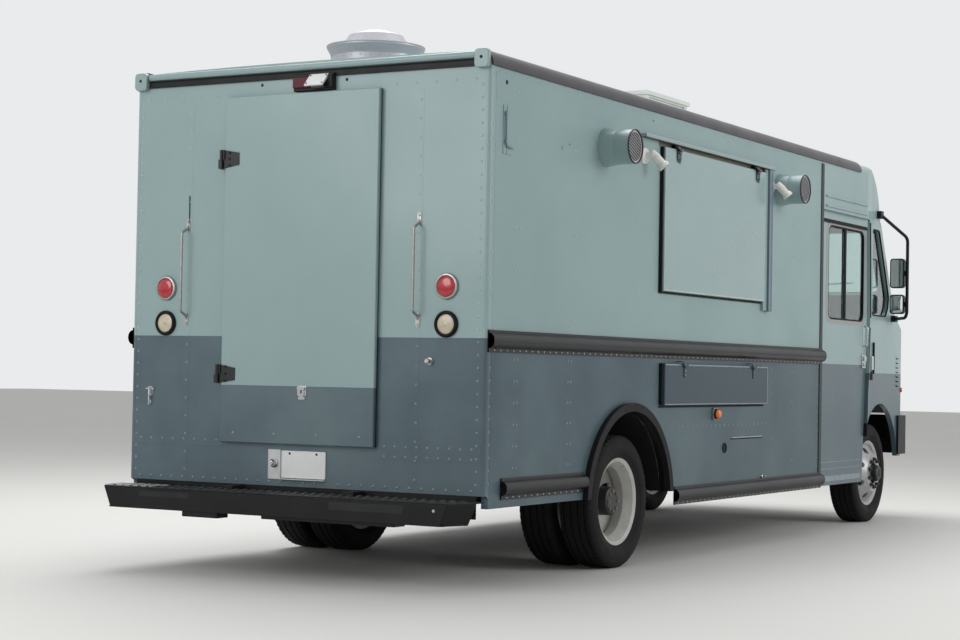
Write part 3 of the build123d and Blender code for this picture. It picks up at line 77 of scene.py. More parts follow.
class Side(Enum):
    """The two sides of the truck, with the sign of Y on each."""

    RIGHT = -1
    LEFT = 1

    @property
    def word(self) -> str:
        """The side's name as it ends a node's name."""
        return self.name.lower()

    @property
    def outward(self) -> Point:
        """The direction away from the truck on this side."""
        return 0, self.value, 0


def linear(colour: str) -> tuple[float, float, float, float]:
    """Turn an sRGB hex colour into the linear one that a shader takes.

    Args:
        colour: Six hex digits after a hash mark.

    Returns:
        Red, green, blue and an alpha of 1.
    """
    shares = [int(colour[i : i + 2], 16) / 255 for i in (1, 3, 5)]
    red, green, blue = (c / 12.92 if c <= 0.04045 else ((c + 0.055) / 1.055) ** 2.4 for c in shares)
    return red, green, blue, 1.0


def add_node(tree: bpy.types.NodeTree, kind: str, inputs: dict | None = None, **settings) -> bpy.types.Node:
    """Add one shader node with its settings, values and links.

    Args:
        tree: The node tree that takes it.
        kind: The node's type, without the ShaderNode in front.
        inputs: Values or sockets by input name or number.
        **settings: Attributes of the node itself.

    Returns:
        The new node.
    """
    made = tree.nodes.new("ShaderNode" + kind)
    for name, value in settings.items():
        setattr(made, name, value)
    for name, value in (inputs or {}).items():
        if isinstance(value, Socket):
            tree.links.new(value, made.inputs[name])
        else:
            made.inputs[name].default_value = value
    return made


def per_metre(size_mm: float) -> float:
    """Texture scale at which a pattern repeats about every size_mm millimetres."""
    return 1000 / size_mm


@dataclass(frozen=True)
class Grain:
    """How uneven a surface is: blotches in its colour and gloss, and fine relief.

    Attributes:
        blotch_mm: Size of the patches that differ in shade.
        blotch: How far the shade differs, from 0 to 1.
        fine_mm: Size of the fine relief, such as orange peel or casting skin.
        relief_mm: Height of the fine relief.
        wave_mm: Size of slow waves in a sheet, or 0 for none.
        wave_height_mm: Height of those waves.
    """

    blotch_mm: float = 400
    blotch: float = 0.06
    fine_mm: float = 4
    relief_mm: float = 0.02
    wave_mm: float = 0
    wave_height_mm: float = 0


@dataclass(frozen=True)
class Patch:
    """A box of the truck that is painted in a colour of its own.

    Attributes:
        low: Its lowest corner.
        high: Its highest corner.
        colour: sRGB colour inside it.
    """

    low: Point
    high: Point
    colour: str

    def over(self, tree: bpy.types.NodeTree, place: Socket, below: Socket) -> Socket:
        """Paint the box's colour over another.

        Args:
            tree: The material's nodes.
            place: The position on the object.
            below: The colour outside the box.

        Returns:
            The colour socket.
        """
        middle = [(a + b) / 2 for a, b in zip(self.low, self.high)]
        half = [(b - a) / 2 for a, b in zip(self.low, self.high)]
        away = add_node(tree, "VectorMath", {0: place, 1: middle}, operation="SUBTRACT")
        away = add_node(tree, "VectorMath", {0: away.outputs[0]}, operation="ABSOLUTE")
        over = add_node(tree, "VectorMath", {0: away.outputs[0], 1: half}, operation="SUBTRACT")
        over = add_node(tree, "SeparateXYZ", {0: over.outputs[0]})
        most = add_node(tree, "Math", {0: over.outputs["X"], 1: over.outputs["Y"]}, operation="MAXIMUM")
        most = add_node(tree, "Math", {0: most.outputs[0], 1: over.outputs["Z"]}, operation="MAXIMUM")
        inside = add_node(tree, "Math", {0: most.outputs[0], 1: 0.0}, operation="LESS_THAN")
        mix = add_node(tree, "Mix", data_type="RGBA")
        tree.links.new(inside.outputs[0], mix.inputs["Factor"])
        tree.links.new(below, mix.inputs[6])
        mix.inputs[7].default_value = linear(self.colour)
        return mix.outputs[2]


@dataclass(frozen=True)
class Finish:
    """A real surface: what it is made of, its colour and how it takes light.

    Attributes:
        name: The real material's name.
        colour: sRGB colour.
        dirt: sRGB colour of what has settled in patches; on the sheet paints the patches are partly painted
            reflection.
        roughness: Shader roughness of the clean surface.
        metallic: 1 for bare metal.
        coat: Weight of a clear coat.
        grain: Its unevenness.
        slot: Name of the material slot that such a piece belongs to; not used.
        patches: Boxes that are painted in another colour.
        specular: Strength of the surface's own reflection, 0.5 for a smooth one.
    """

    name: str
    colour: str
    dirt: str
    roughness: float
    metallic: float = 0.0
    coat: float = 0.0
    grain: Grain = Grain()
    slot: str = "body_paint"
    patches: tuple[Patch, ...] = ()
    specular: float = 0.5

    def build(self) -> bpy.types.Material:
        """Make the material.

        Returns:
            The finished Blender material.
        """
        made = bpy.data.materials.new(self.name)
        made.use_nodes = True
        tree = made.node_tree
        tree.nodes.clear()
        place = add_node(tree, "TexCoord").outputs["Object"]
        settings = {"Metallic": self.metallic, "Specular IOR Level": self.specular}
        settings.update({"Coat Weight": self.coat, "Coat Roughness": 0.12})
        shader = add_node(tree, "BsdfPrincipled", settings)
        self.paint(tree, place, shader)
        self.relief(tree, place, shader)
        output = tree.nodes.new("ShaderNodeOutputMaterial")
        tree.links.new(shader.outputs["BSDF"], output.inputs["Surface"])
        return made

    def base(self, tree: bpy.types.NodeTree, place: Socket) -> Socket | tuple:
        """Give the clean colour, which a finish with more than one overrides."""
        return linear(self.colour)

    def paint(self, tree: bpy.types.NodeTree, place: Socket, shader: bpy.types.Node) -> None:
        """Colour the surface in soft patches and make the dirty ones duller.

        Args:
            tree: The material's nodes.
            place: The position on the object.
            shader: The surface shader.
        """
        scale = per_metre(self.grain.blotch_mm)
        blotch = add_node(tree, "TexNoise", {"Vector": place, "Scale": scale, "Detail": 4.0,
                                             "Roughness": 0.6})
        spread = {"Value": blotch.outputs["Fac"], "From Min": 0.35, "From Max": 0.75, "To Min": 0.0}
        share = add_node(tree, "MapRange", {**spread, "To Max": self.grain.blotch})
        mix = add_node(tree, "Mix", data_type="RGBA")
        tree.links.new(share.outputs["Result"], mix.inputs["Factor"])
        clean = self.base(tree, place)
        if isinstance(clean, Socket):
            tree.links.new(clean, mix.inputs[6])
        else:
            mix.inputs[6].default_value = clean
        mix.inputs[7].default_value = linear(self.dirt)
        colour = mix.outputs[2]
        for patch in self.patches:
            colour = patch.over(tree, place, colour)
        tree.links.new(colour, shader.inputs["Base Color"])
        dull = {"Value": blotch.outputs["Fac"], "From Min": 0.3, "From Max": 0.8}
        dull.update({"To Min": self.roughness * 0.88, "To Max": min(1.0, self.roughness * 1.18 + 0.02)})
        gloss = add_node(tree, "MapRange", dull)
        tree.links.new(gloss.outputs["Result"], shader.inputs["Roughness"])

    def relief(self, tree: bpy.types.NodeTree, place: Socket, shader: bpy.types.Node) -> None:
        """Give the surface its fine relief and, on a sheet, its slow waves.

        Args:
            tree: The material's nodes.
            place: The position on the object.
            shader: The surface shader.
        """
        grain = self.grain
        fine = add_node(tree, "TexNoise", {"Vector": place, "Scale": per_metre(grain.fine_mm), "Detail": 3.0})
        bump = add_node(tree, "Bump", {"Height": fine.outputs["Fac"], "Distance": grain.relief_mm / 1000})
        if grain.wave_mm:
            wave = add_node(tree, "TexNoise", {"Vector": place, "Scale": per_metre(grain.wave_mm),
                                               "Detail": 1.0})
            height = {"Height": wave.outputs["Fac"], "Distance": grain.wave_height_mm / 1000}
            bump = add_node(tree, "Bump", {**height, "Normal": bump.outputs["Normal"]})
        tree.links.new(bump.outputs["Normal"], shader.inputs["Normal"])


@dataclass(frozen=True)
class TwoTonePaint(Finish):
    """Two-pack enamel in two colours that meet at a masked line of one height.

    Attributes:
        lower: sRGB colour below the line.
        split: Height of the line in metres.
    """

    lower: str = "#51666D"
    split: float = 1.328

    def base(self, tree: bpy.types.NodeTree, place: Socket) -> Socket:
        """Switch from the lower to the upper colour at the masked line.

        Args:
            tree: The material's nodes.
            place: The position on the object.

        Returns:
            The colour socket.
        """
        parts = add_node(tree, "SeparateXYZ", {"Vector": place})
        above = add_node(tree, "Math", {0: parts.outputs["Z"], 1: self.split}, operation="GREATER_THAN")
        mix = add_node(tree, "Mix", data_type="RGBA")
        tree.links.new(above.outputs[0], mix.inputs["Factor"])
        mix.inputs[6].default_value = linear(self.lower)
        mix.inputs[7].default_value = linear(self.colour)
        return mix.outputs[2]


@dataclass(frozen=True)
class Brushed(Finish):
    """Bare metal drawn or brushed one way, which stretches its highlights.

    Attributes:
        line_mm: Spacing of the brush lines.
        along: Axis the lines follow, 0 to 2 for X to Z.
    """

    line_mm: float = 1.5
    along: int = 0

    def relief(self, tree: bpy.types.NodeTree, place: Socket, shader: bpy.types.Node) -> None:
        """Cut fine lines along one axis, much longer than they are wide.

        Args:
            tree: The material's nodes.
            place: The position on the object.
            shader: The surface shader.
        """
        stretch = [per_metre(self.line_mm)] * 3
        stretch[self.along] = per_metre(self.line_mm * 60)
        mapping = add_node(tree, "Mapping", {"Vector": place, "Scale": stretch})
        lines = add_node(tree, "TexNoise", {"Vector": mapping.outputs["Vector"], "Scale": 1.0, "Detail": 2.0})
        bump = add_node(tree, "Bump", {"Height": lines.outputs["Fac"], "Distance": 0.00002, "Strength": 0.6})
        tree.links.new(bump.outputs["Normal"], shader.inputs["Normal"])


@dataclass(frozen=True)
class Glazing:
    """Clear or tinted glass or moulded lens.

    Attributes:
        name: The real material's name.
        colour: sRGB tint.
        roughness: 0 for float glass, more for a frosted lens.
        ior: Index of refraction.
        alpha: How much of the surface shows by itself.
        slot: Name of the material slot that such a piece belongs to; not used.
    """

    name: str
    colour: str
    roughness: float = 0.02
    ior: float = 1.52
    alpha: float = 1.0
    slot: str = "glass"

    def build(self) -> bpy.types.Material:
        """Make the material.

        Returns:
            The finished Blender material.
        """
        made = bpy.data.materials.new(self.name)
        made.use_nodes = True
        tree = made.node_tree
        shader = tree.nodes["Principled BSDF"]
        place = add_node(tree, "TexCoord").outputs["Object"]
        haze = add_node(tree, "TexNoise", {"Vector": place, "Scale": per_metre(250), "Detail": 3.0})
        low, high = self.roughness, self.roughness + 0.05
        film = {"Value": haze.outputs["Fac"], "From Min": 0.4, "From Max": 0.8, "To Min": low, "To Max": high}
        tree.links.new(add_node(tree, "MapRange", film).outputs["Result"], shader.inputs["Roughness"])
        shader.inputs["Base Color"].default_value = linear(self.colour)
        shader.inputs["IOR"].default_value = self.ior
        shader.inputs["Transmission Weight"].default_value = 1.0
        shader.inputs["Alpha"].default_value = self.alpha
        return made


def both_sides(x: Pair, y: Pair, z: Pair, colour: str) -> tuple[Patch, ...]:
    """The same patch on both sides, y being distances from the middle."""
    right = Patch((x[0], -y[1], z[0]), (x[1], -y[0], z[1]), colour)
    return right, Patch((x[0], y[0], z[0]), (x[1], y[1], z[1]), colour)


def on_right(run: Pair, reach: float, z: Pair, colour: str) -> Patch:
    """A patch over all of the right side that stands further out than reach, run being distances."""
    return Patch((station(run[0]), -OUT, z[0]), (station(run[1]), -HALF_WIDTH - reach, z[1]), colour)


def sheet_paint(name: str, roughness: float, split: float, **settings) -> TwoTonePaint:
    """Two-tone enamel on sheet, in the truck's colours unless the settings say otherwise."""
    ready = {"grain": SHEET_FADE_AND_SHEEN, "lower": SLATE, "specular": 0.35}
    return TwoTonePaint(name, MINT, MINT_DIRT_AND_SHEEN, roughness, split=split, **{**ready, **settings})


def worn(slot: str, name: str, colours: str, roughness: float, *grain: float, **settings) -> Finish:
    """Make a slot's finish from one string of its clean and dirty sRGB colours and its grain's numbers."""
    return Finish(name, *colours.split(), roughness, grain=Grain(*grain), slot=slot, **settings)


MINT = "#8FA6A7"
# Colour of the sheet paints' blotches: settled dirt, and in part painted reflection of the sky on the panels
MINT_DIRT_AND_SHEEN = "#7C9092"
SLATE = "#485A63"
HINGE_BLACK = "#121314"
# Grain of the sheet paints: its large blotches are faded patches and partly painted reflection, standing in
# for the panels' mottled sky reflections
SHEET_FADE_AND_SHEEN = Grain(blotch_mm=650, blotch=0.3, fine_mm=3, relief_mm=0.012, wave_mm=420, wave_height_mm=2.6)
FLAT_SHEET = Grain(blotch_mm=500, blotch=0.2, fine_mm=3, relief_mm=0.012)
DOOR_FACE = REAR_FACE - 0.036
HATCH_FACE = -HALF_WIDTH - 0.032
OUT = 9.0

LINER = Patch(
    (REAR_FACE + 0.0395, -HALF_WIDTH + 0.0395, 0.5), (station(5.0395), HALF_WIDTH - 0.0395, 2.8105), "#D5D5CF"
)
GRILLE_BLACK = Patch((station(7.26), -0.6395, 0.962), (station(7.2995), 0.6395, 1.328), "#17181A")
# Cut edges of the wheel arches, the rear wheels' hubs, the front ones' cups and the bars of the door windows
ARCH_RUN = (REAR_AXLE_X - 0.555, REAR_AXLE_X + 0.605)
ARCH_EDGES = both_sides(ARCH_RUN, (HALF_WIDTH - 0.0395, HALF_WIDTH - 0.0005), (0.3, 0.955), "#131415")
HUB_RUN = (REAR_AXLE_X - 0.097, REAR_AXLE_X + 0.097)
DARK_HUBS = both_sides(HUB_RUN, (0.925, 1.135), (HUB_Z - 0.097, HUB_Z + 0.097), "#1E1F20")
CUP_RUN = (FRONT_AXLE_X - 0.07, FRONT_AXLE_X + 0.07)
DARK_CUPS = both_sides(CUP_RUN, (1.088, OUT), (HUB_Z - 0.07, HUB_Z + 0.07), "#2E3034")
WINDOW_BARS = both_sides((station(5.6595), station(5.6945)), (1.098, 1.138), (1.601, 2.314), "#232526")
SIDE_PATCHES = (
    LINER,
    *ARCH_EDGES,
    on_right((3.87, 3.94), 0.0205, (1.6, 2.59), "#6C7A86"),
    on_right((2.25, 2.36), 0.0005, (2.5, 2.587), HINGE_BLACK),
    on_right((3.6, 3.7), 0.0005, (2.5, 2.587), HINGE_BLACK),
    # Underside of the drip strip in brown-grey: painted shade under the strip
    on_right((1.84, 3.98), 0.001, (2.5865, 2.5905), "#4E4238"),
    # Wall band between the hatch's head and the drip strip in dark olive-grey: painted shade under the strip
    on_right((2.1, 3.84), -0.001, (2.56, 2.589), "#5F5C50"),
)
WALL_HINGES = Patch((-OUT, 0.4, 1.0), (REAR_FACE - 0.002, 0.6, 2.4), HINGE_BLACK)
DOOR_HINGES = Patch((-OUT, 0.3, 1.0), (DOOR_FACE - 0.0005, 0.6, 2.4), HINGE_BLACK)
# Black strip on the inner part of the rear door's right edge: its seal, and painted shadow of the gap beside
# the door
DOOR_SEAL_AND_GAP_SHADE = Patch((REAR_FACE - 0.014, -0.6, 0.5), (REAR_FACE + 0.001, -0.5095, 2.7), "#0F1011")
HATCH_HEAD = Patch((-OUT, -OUT, 2.47), (OUT, HATCH_FACE - 0.0005, 2.59), SLATE)
ROOF_RAIL = Patch((-OUT, -OUT, 2.752), (OUT, OUT, 3.0), "#3A373D")


class Palette(Enum):
    """Every finish on the truck, named for the real material."""

    # Enamel on thin riveted aluminium sheet: the sheet's slow waves bend every reflection
    WALL_ENAMEL = sheet_paint("side wall enamel", 0.34, 1.314, patches=SIDE_PATCHES, lower="#44565F",
                              specular=0.22)
    REAR_ENAMEL = sheet_paint("rear wall enamel", 0.36, 1.328, coat=0.2, patches=(LINER, WALL_HINGES))
    DOOR_ENAMEL = sheet_paint("rear door enamel", 0.38, 1.055, coat=0.2, patches=(DOOR_HINGES, DOOR_SEAL_AND_GAP_SHADE))
    CAB_ENAMEL = sheet_paint("cab door enamel", 0.3, 1.262, coat=0.15, patches=WINDOW_BARS)
    FENDER_ENAMEL = sheet_paint("fender enamel", 0.3, 1.2, coat=0.15)
    MINT_ENAMEL = Finish("mint enamel", MINT, MINT_DIRT_AND_SHEEN, 0.32, coat=0.15, grain=SHEET_FADE_AND_SHEEN,
                         patches=(LINER, GRILLE_BLACK), specular=0.35)
    HATCH_ENAMEL = Finish("serving hatch enamel", MINT, MINT_DIRT_AND_SHEEN, 0.24, coat=0.3, grain=FLAT_SHEET,
                          specular=0.35, patches=(HATCH_HEAD,))
    SLATE_ENAMEL = Finish("slate enamel", "#3A4A53", "#4C5D65", 0.3, grain=FLAT_SHEET, specular=0.2)
    # Paint rubbed thin along a folded edge, with the sheet shining through
    WORN_ENAMEL = worn("body_paint", "rubbed mint enamel", "#BCCBC6 #8FA39F", 0.34, 40, 0.6, 2, 0.02,
                       metallic=0.2)
    WORN_SLATE = worn("body_paint", "rubbed slate enamel", "#8797A0 #5F7078", 0.32, 40, 0.6, 2, 0.02,
                      metallic=0.2)
    POST_ENAMEL = worn("body_paint", "grey-blue post enamel", "#788796 #6A7886", 0.34, 120, 0.3, 3, 0.02)
    # Button-head rivets in the sheet's own paint, painted paler than the sheet round them as a highlight
    # where their heads catch the light
    RIVET_ENAMEL = TwoTonePaint("rubbed rivet enamel", "#A3B6B4", "#8B9D9C", 0.34,
                                grain=Grain(20, 0.5, 2, 0.02), lower="#687A80", split=1.32)
    # Sprayed rubber and wax: black and dull, with a coarse skin
    UNDERCOAT = worn("black_trim", "rubberised undercoat", "#17181A #232325", 0.62, 60, 0.3, 3, 0.25,
                     specular=0.2)
    # Extruded vinyl in an aluminium track: satin black, chalky where the sun has bleached it
    RAIL_VINYL = worn("black_trim", "black rail vinyl", "#141518 #2E2C2B", 0.34, 220, 0.35, 2.5, 0.05,
                      specular=0.3, patches=(ROOF_RAIL,))
    BLEACHED_VINYL = worn("black_trim", "sun-bleached roof rail vinyl", "#3A373D #575257", 0.5, 180, 0.6, 2.5,
                          0.05, specular=0.25)
    # Lacquer over aluminium: a soft metal glint under a pale film
    SLAT_SILVER = worn("aluminium", "silver-lacquered slat", "#D8DADB #A9ACAE", 0.3, 40, 0.4, 2, 0.02,
                       metallic=0.3)
    FAN_LACQUER = worn("aluminium", "weathered fan aluminium", "#B9BAC0 #95979B", 0.42, 260, 0.5, 3, 0.03,
                       metallic=0.45)
    # Moulded EPDM and tyre rubber: dull black that goes grey with dust
    # The seal rubber is also the painted shadow in the gaps round the hatch, the shelf and the heater slot
    SEAL_RUBBER = worn("black_trim", "EPDM seal rubber", "#0E0F10 #232323", 0.62, 120, 0.2, 2, 0.04,
                       specular=0.2)
    TYRE_RUBBER = worn("tyre", "tyre rubber", "#131314 #2E2C2A", 0.74, 90, 0.3, 2, 0.05, specular=0.2)
    # Brushed chassis enamel over mill scale, with road dust
    CHASSIS_ENAMEL = worn("chassis_paint", "chassis black enamel", "#121212 #38332E", 0.58, 160, 0.35, 5,
                          0.15, specular=0.25)
    # Satin black on the step, rubbed to grey where shoes scrape it
    STEP_ENAMEL = worn("black_trim", "step bumper enamel", "#0E0F11 #242322", 0.36, 180, 0.3, 4, 0.1,
                       specular=0.22)
    WORN_STEP = worn("black_trim", "worn step tread", "#1D1E20 #5C5D5F", 0.42, 60, 0.6, 3, 0.1, specular=0.3)
    # Wheel paint, powdered with brake dust
    WHEEL_ENAMEL = worn("wheel_paint", "white wheel enamel", "#B4B4B0 #8A867F", 0.42, 70, 0.4, 4, 0.06,
                        patches=DARK_HUBS)
    SILVER_ENAMEL = worn("wheel_paint", "silver wheel enamel", "#ABACAE #7E7B77", 0.38, 70, 0.35, 4, 0.05,
                         metallic=0.35, patches=DARK_CUPS)
    # Bare and coated aluminium: drawn lines on the bare metal, an even film on the coated
    MILL_ALUMINIUM = Brushed("mill aluminium", "#B5B7B9", "#8E9092", 0.42, metallic=1.0, line_mm=2.0, along=0,
                             slot="aluminium")
    WORN_ALUMINIUM = Brushed("window frame aluminium", "#A5A6A4", "#7F7D78", 0.4, metallic=0.7, line_mm=3.0,
                             along=2, slot="aluminium")
    WHITE_ALUMINIUM = worn("aluminium", "white-coated aluminium", "#C9CCCB #A3A5A2", 0.4, 60, 0.4, 3, 0.02)
    PLATE_ENAMEL = worn("aluminium", "blank plate enamel", "#DDE0E0 #C6C8C6", 0.35, 90, 0.3, 3, 0.02)
    # Steels: brushed, finned, rusted, oiled and plated, each with its own glint
    STAINLESS = Brushed("stainless steel", "#BFC1C3", "#8C8D8E", 0.26, metallic=1.0, line_mm=1.0, along=2,
                        slot="steel")
    RADIATOR_FINS = worn("steel", "finned radiator core", "#2A2B2C #3E3C38", 0.5, 30, 0.4, 2, 0.2,
                         metallic=0.6)
    RUSTY_STEEL = worn("steel", "rusted stud steel", "#8A8178 #6B4A35", 0.6, 14, 0.9, 2, 0.1, metallic=0.5)
    DARK_STUD = worn("steel", "oiled stud steel", "#4A4A4B #35302B", 0.5, 14, 0.7, 2, 0.1, metallic=0.6)
    ZINC_PLATE = worn("steel", "zinc-plated steel", "#A9A9A6 #7B756C", 0.4, 25, 0.5, 2, 0.03, metallic=0.9)
    # Chromed die casting, pitted: a hard bright reflection with a few dull specks
    CHROME = worn("steel", "chromed zinc casting", "#C9CCCE #8F8F8C", 0.16, 12, 0.5, 1.5, 0.02, metallic=1.0)
    # Moulded plastics and the cab's grained vinyl: soft highlights that break up in the grain
    WHITE_PLASTIC = worn("white_plastic", "white ABS", "#E4E4E0 #C9C6BC", 0.38, 120, 0.25, 1.5, 0.02)
    BLACK_PLASTIC = worn("black_trim", "textured black ABS", "#121314 #232324", 0.5, 90, 0.2, 1.2, 0.06,
                         specular=0.25)
    CABIN_VINYL = worn("seat_vinyl", "grained cabin vinyl", "#2B2D30 #3B3D3F", 0.55, 60, 0.3, 3, 0.25)
    WINDOW_GLASS = Glazing("tinted safety glass", "#CFE3E0")
    CLEAR_LENS = Glazing("clear polycarbonate", "#F2F1EA", 0.05, 1.58, slot="lamp_clear")
    # Acrylic lenses over a bulb: yellowed by the sun on the reversing lamps
    YELLOWED_LENS = worn("lamp_clear", "yellowed acrylic lens", "#C9C0AB #9E8E74", 0.3, 35, 0.6, 4,
                         0.3, coat=0.4)
    RED_LENS = worn("lamp_red", "red acrylic lens", "#B01424 #8C1420", 0.14, 30, 0.3, 5, 0.3, coat=0.6)
    DARK_RED_LENS = worn("lamp_red", "dark red acrylic lens", "#571526 #3D1220", 0.4, 30, 0.3, 5, 0.1,
                         specular=0.25)
    AMBER_LENS = worn("lamp_clear", "amber acrylic lens", "#F0780E #C85F0A", 0.14, 30, 0.3, 5, 0.3, coat=0.6)
    # Near-black holes and slots, painted shade of their hollows, and the silver behind a mirror's glass
    DARK_INSIDE = worn("black_trim", "unlit inside", "#0C0D0E #16171A", 0.8, 100, 0.2, 4, 0.05)
    MIRROR_SILVER = worn("glass", "mirror silvering", "#E8EAEA #DADCDC", 0.03, 300, 0.1, 50, 0.001,
                         metallic=1.0)

    @property
    def material(self) -> bpy.types.Material:
        """The Blender material, made the first time it is asked for."""
        return bpy.data.materials.get(self.value.name) or self.value.build()


class Shape:
    """A mesh under construction."""

    def __init__(self) -> None:
        """Start with no points."""
        self.points: list[Vector] = []
        self.faces: list[tuple[int, ...]] = []

    def take(self, points: Iterable[Sequence[float]], faces: Iterable[Sequence[int]]) -> "Shape":
        """Add points and the faces that join them.

        Args:
            points: New points.
            faces: Faces by the new points' numbers.

        Returns:
            The shape itself, so that calls can follow each other.
        """
        start = len(self.points)
        self.points.extend(Vector(p) for p in points)
        self.faces.extend(tuple(start + i for i in face) for face in faces)
        return self

    def box(self, low: Point, high: Point) -> "Shape":
        """Add a box between two corners."""
        corners = [(x, y, z) for z in (low[2], high[2]) for y in (low[1], high[1]) for x in (low[0], high[0])]
        faces = [(0, 2, 3, 1), (4, 5, 7, 6), (0, 1, 5, 4), (2, 6, 7, 3), (0, 4, 6, 2), (1, 3, 7, 5)]
        return self.take(corners, faces)

    def rear_box(self, out: Pair, y: Pair, z: Pair) -> "Shape":
        """Add a box on the rear wall, out being its reach behind the wall."""
        return self.box((REAR_FACE - out[1], y[0], z[0]), (REAR_FACE - out[0], y[1], z[1]))

    def side_box(self, run: Pair, out: Pair, z: Pair, side: Side = Side.RIGHT) -> "Shape":
        """Add a box on a side wall, run being distances and out its reach from the wall."""
        low, high = sorted(side.value * (HALF_WIDTH + reach) for reach in out)
        return self.box((station(run[0]), low, z[0]), (station(run[1]), high, z[1]))

    def plate(self, size: Point, place: Matrix, depth: float) -> "Shape":
        """Add a plate with round corners, size being its width, height and corner radius."""
        return self.prism(rounded_rectangle(*size), place, depth)

    def loft(self, rings: Sequence[Sequence[Sequence[float]]], capped: bool = True) -> "Shape":
        """Add a skin through closed rings of equally many points.

        Args:
            rings: The rings in order.
            capped: Whether the first and last ring are filled.

        Returns:
            The shape itself.
        """
        count = len(rings[0])
        faces = [
            (r * count + i, r * count + (i + 1) % count, (r + 1) * count + (i + 1) % count,
             (r + 1) * count + i)
            for r in range(len(rings) - 1)
            for i in range(count)
        ]
        if capped:
            faces.append(tuple(reversed(range(count))))
            faces.append(tuple(range((len(rings) - 1) * count, len(rings) * count)))
        return self.take([p for ring in rings for p in ring], faces)

    def lathe(self, profile: Sequence[Pair], origin: Point, axis: Point, steps: int = 48) -> "Shape":
        """Turn a profile about an axis.

        Args:
            profile: Distance along the axis and radius of each point.
            origin: Where the axis starts.
            axis: Its direction.
            steps: Number of points round.

        Returns:
            The shape itself.
        """
        along = Vector(axis).normalized()
        across = along.orthogonal().normalized()
        other = along.cross(across)
        base = Vector(origin)
        rings = []
        for distance, radius in profile:
            middle = base + along * distance
            reach = max(radius, 1e-5)
            rings.append([middle + (across * cos(a) + other * sin(a)) * reach for a in around(steps)])
        return self.loft(rings)

    def tube(self, path: Sequence[Sequence[float]], radius: float, sides: int = 12) -> "Shape":
        """Run a round bar along a path.

        Args:
            path: The points of its middle line.
            radius: The bar's radius.
            sides: Number of points round it.

        Returns:
            The shape itself.
        """
        points = [Vector(p) for p in path]
        rings = []
        across = None
        for i, point in enumerate(points):
            ahead = (points[min(i + 1, len(points) - 1)] - points[max(i - 1, 0)]).normalized()
            across = ahead.orthogonal() if across is None else across - ahead * across.dot(ahead)
            across.normalize()
            other = ahead.cross(across)
            rings.append([point + (across * cos(a) + other * sin(a)) * radius for a in around(sides)])
        return self.loft(rings)

    def prism(self, outline: Sequence[Pair], frame_of: Matrix, depth: float) -> "Shape":
        """Push a flat outline in the X and Y of frame_of along its Z by depth, and return the shape."""
        return self.loft([[frame_of @ Vector((u, v, w)) for u, v in outline] for w in (0.0, depth)])

    def copies(self, other: "Shape", places: Iterable[Matrix]) -> "Shape":
        """Add another shape once at each place."""
        for place in places:
            self.take([place @ p for p in other.points], other.faces)
        return self

    def piece(self, name: str, finish: Palette, body: str = "root", bevel: float = 0.0, levels: int = 0,
              stands_for: Sequence[str] = (), angle: float = 35.0) -> bpy.types.Object:
        """Turn the shape into a finished object that rides on a body.

        Args:
            name: The piece's name.
            finish: What it is made of.
            body: The CAD body that it rides on.
            bevel: Width of rounded edges, or 0 for none.
            levels: Levels of subdivision, or 0 for none.
            stands_for: CAD nodes that it replaces.
            angle: Edges sharper than this many degrees stay crisp.

        Returns:
            The new object.
        """
        mesh = bpy.data.meshes.new(name)
        mesh.from_pydata([tuple(p) for p in self.points], [], self.faces)
        mesh.validate()
        made = bpy.data.objects.new(name, mesh)
        bpy.context.scene.collection.objects.link(made)
        mesh.materials.append(finish.material)
        mesh.polygons.foreach_set("use_smooth", [True] * len(mesh.polygons))
        mesh.set_sharp_from_angle(angle=radians(angle))
        if bevel:
            rounding = made.modifiers.new("rounded edges", "BEVEL")
            rounding.width, rounding.segments = bevel, 2
            rounding.limit_method, rounding.angle_limit = "ANGLE", radians(angle)
            rounding.harden_normals = True
        if levels:
            made.modifiers.new("smoothing", "SUBSURF").render_levels = levels
        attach(made, body)
        if stands_for:
            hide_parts(*stands_for)
        LOG.info("%s: %d faces on %s", name, len(mesh.polygons), body)
        return made


def turned(name: str, finish: Palette, profile: Sequence[Pair], origin: Point, axis: Point, steps: int,
           body: str = "root", stands_for: Sequence[str] = ()) -> None:
    """Make a piece from a profile, each point a distance along the axis and a radius, in steps round it."""
    Shape().lathe(profile, origin, axis, steps).piece(name, finish, body, stands_for=stands_for)


def facing(origin: Point, normal: Point, up: Point = UP) -> Matrix:
    """Frame of a plane at origin that faces along normal, with its Y as near up as it can be.

    Args:
        origin: The plane's origin.
        normal: Where it faces.
        up: Roughly the direction of its Y.

    Returns:
        The frame as a matrix.
    """
    z_axis = Vector(normal).normalized()
    x_axis = Vector(up).cross(z_axis).normalized()
    y_axis = z_axis.cross(x_axis)
    return Matrix.Translation(Vector(origin)) @ Matrix((x_axis, y_axis, z_axis)).transposed().to_4x4()


def rounded_rectangle(width: float, height: float, radius: float, steps: int = 5) -> list[Pair]:
    """Outline of a rectangle with round corners, about its middle."""
    points = []
    for corner, (sx, sy) in enumerate(((1, 1), (-1, 1), (-1, -1), (1, -1))):
        for i in range(steps + 1):
            a = radians(90 * corner + 90 * i / steps)
            x, y = sx * (width / 2 - radius), sy * (height / 2 - radius)
            points.append((x + radius * cos(a), y + radius * sin(a)))
    return points


def rounded_path(corners: Sequence[Point], radius: float, steps: int = 6) -> list[Vector]:
    """Path through corner points with each inner corner rounded.

    Args:
        corners: The corner points.
        radius: Distance from a corner at which its bend starts.
        steps: Points in each bend.

    Returns:
        The points of the path.
    """
    points = [Vector(c) for c in corners]
    path = [points[0]]
    for before, corner, after in zip(points, points[1:], points[2:]):
        start = corner + (before - corner).normalized() * radius
        end = corner + (after - corner).normalized() * radius
        for i in range(steps + 1):
            t = i / steps
            path.append(start * (1 - t) ** 2 + corner * 2 * t * (1 - t) + end * t * t)
    path.append(points[-1])
    return path


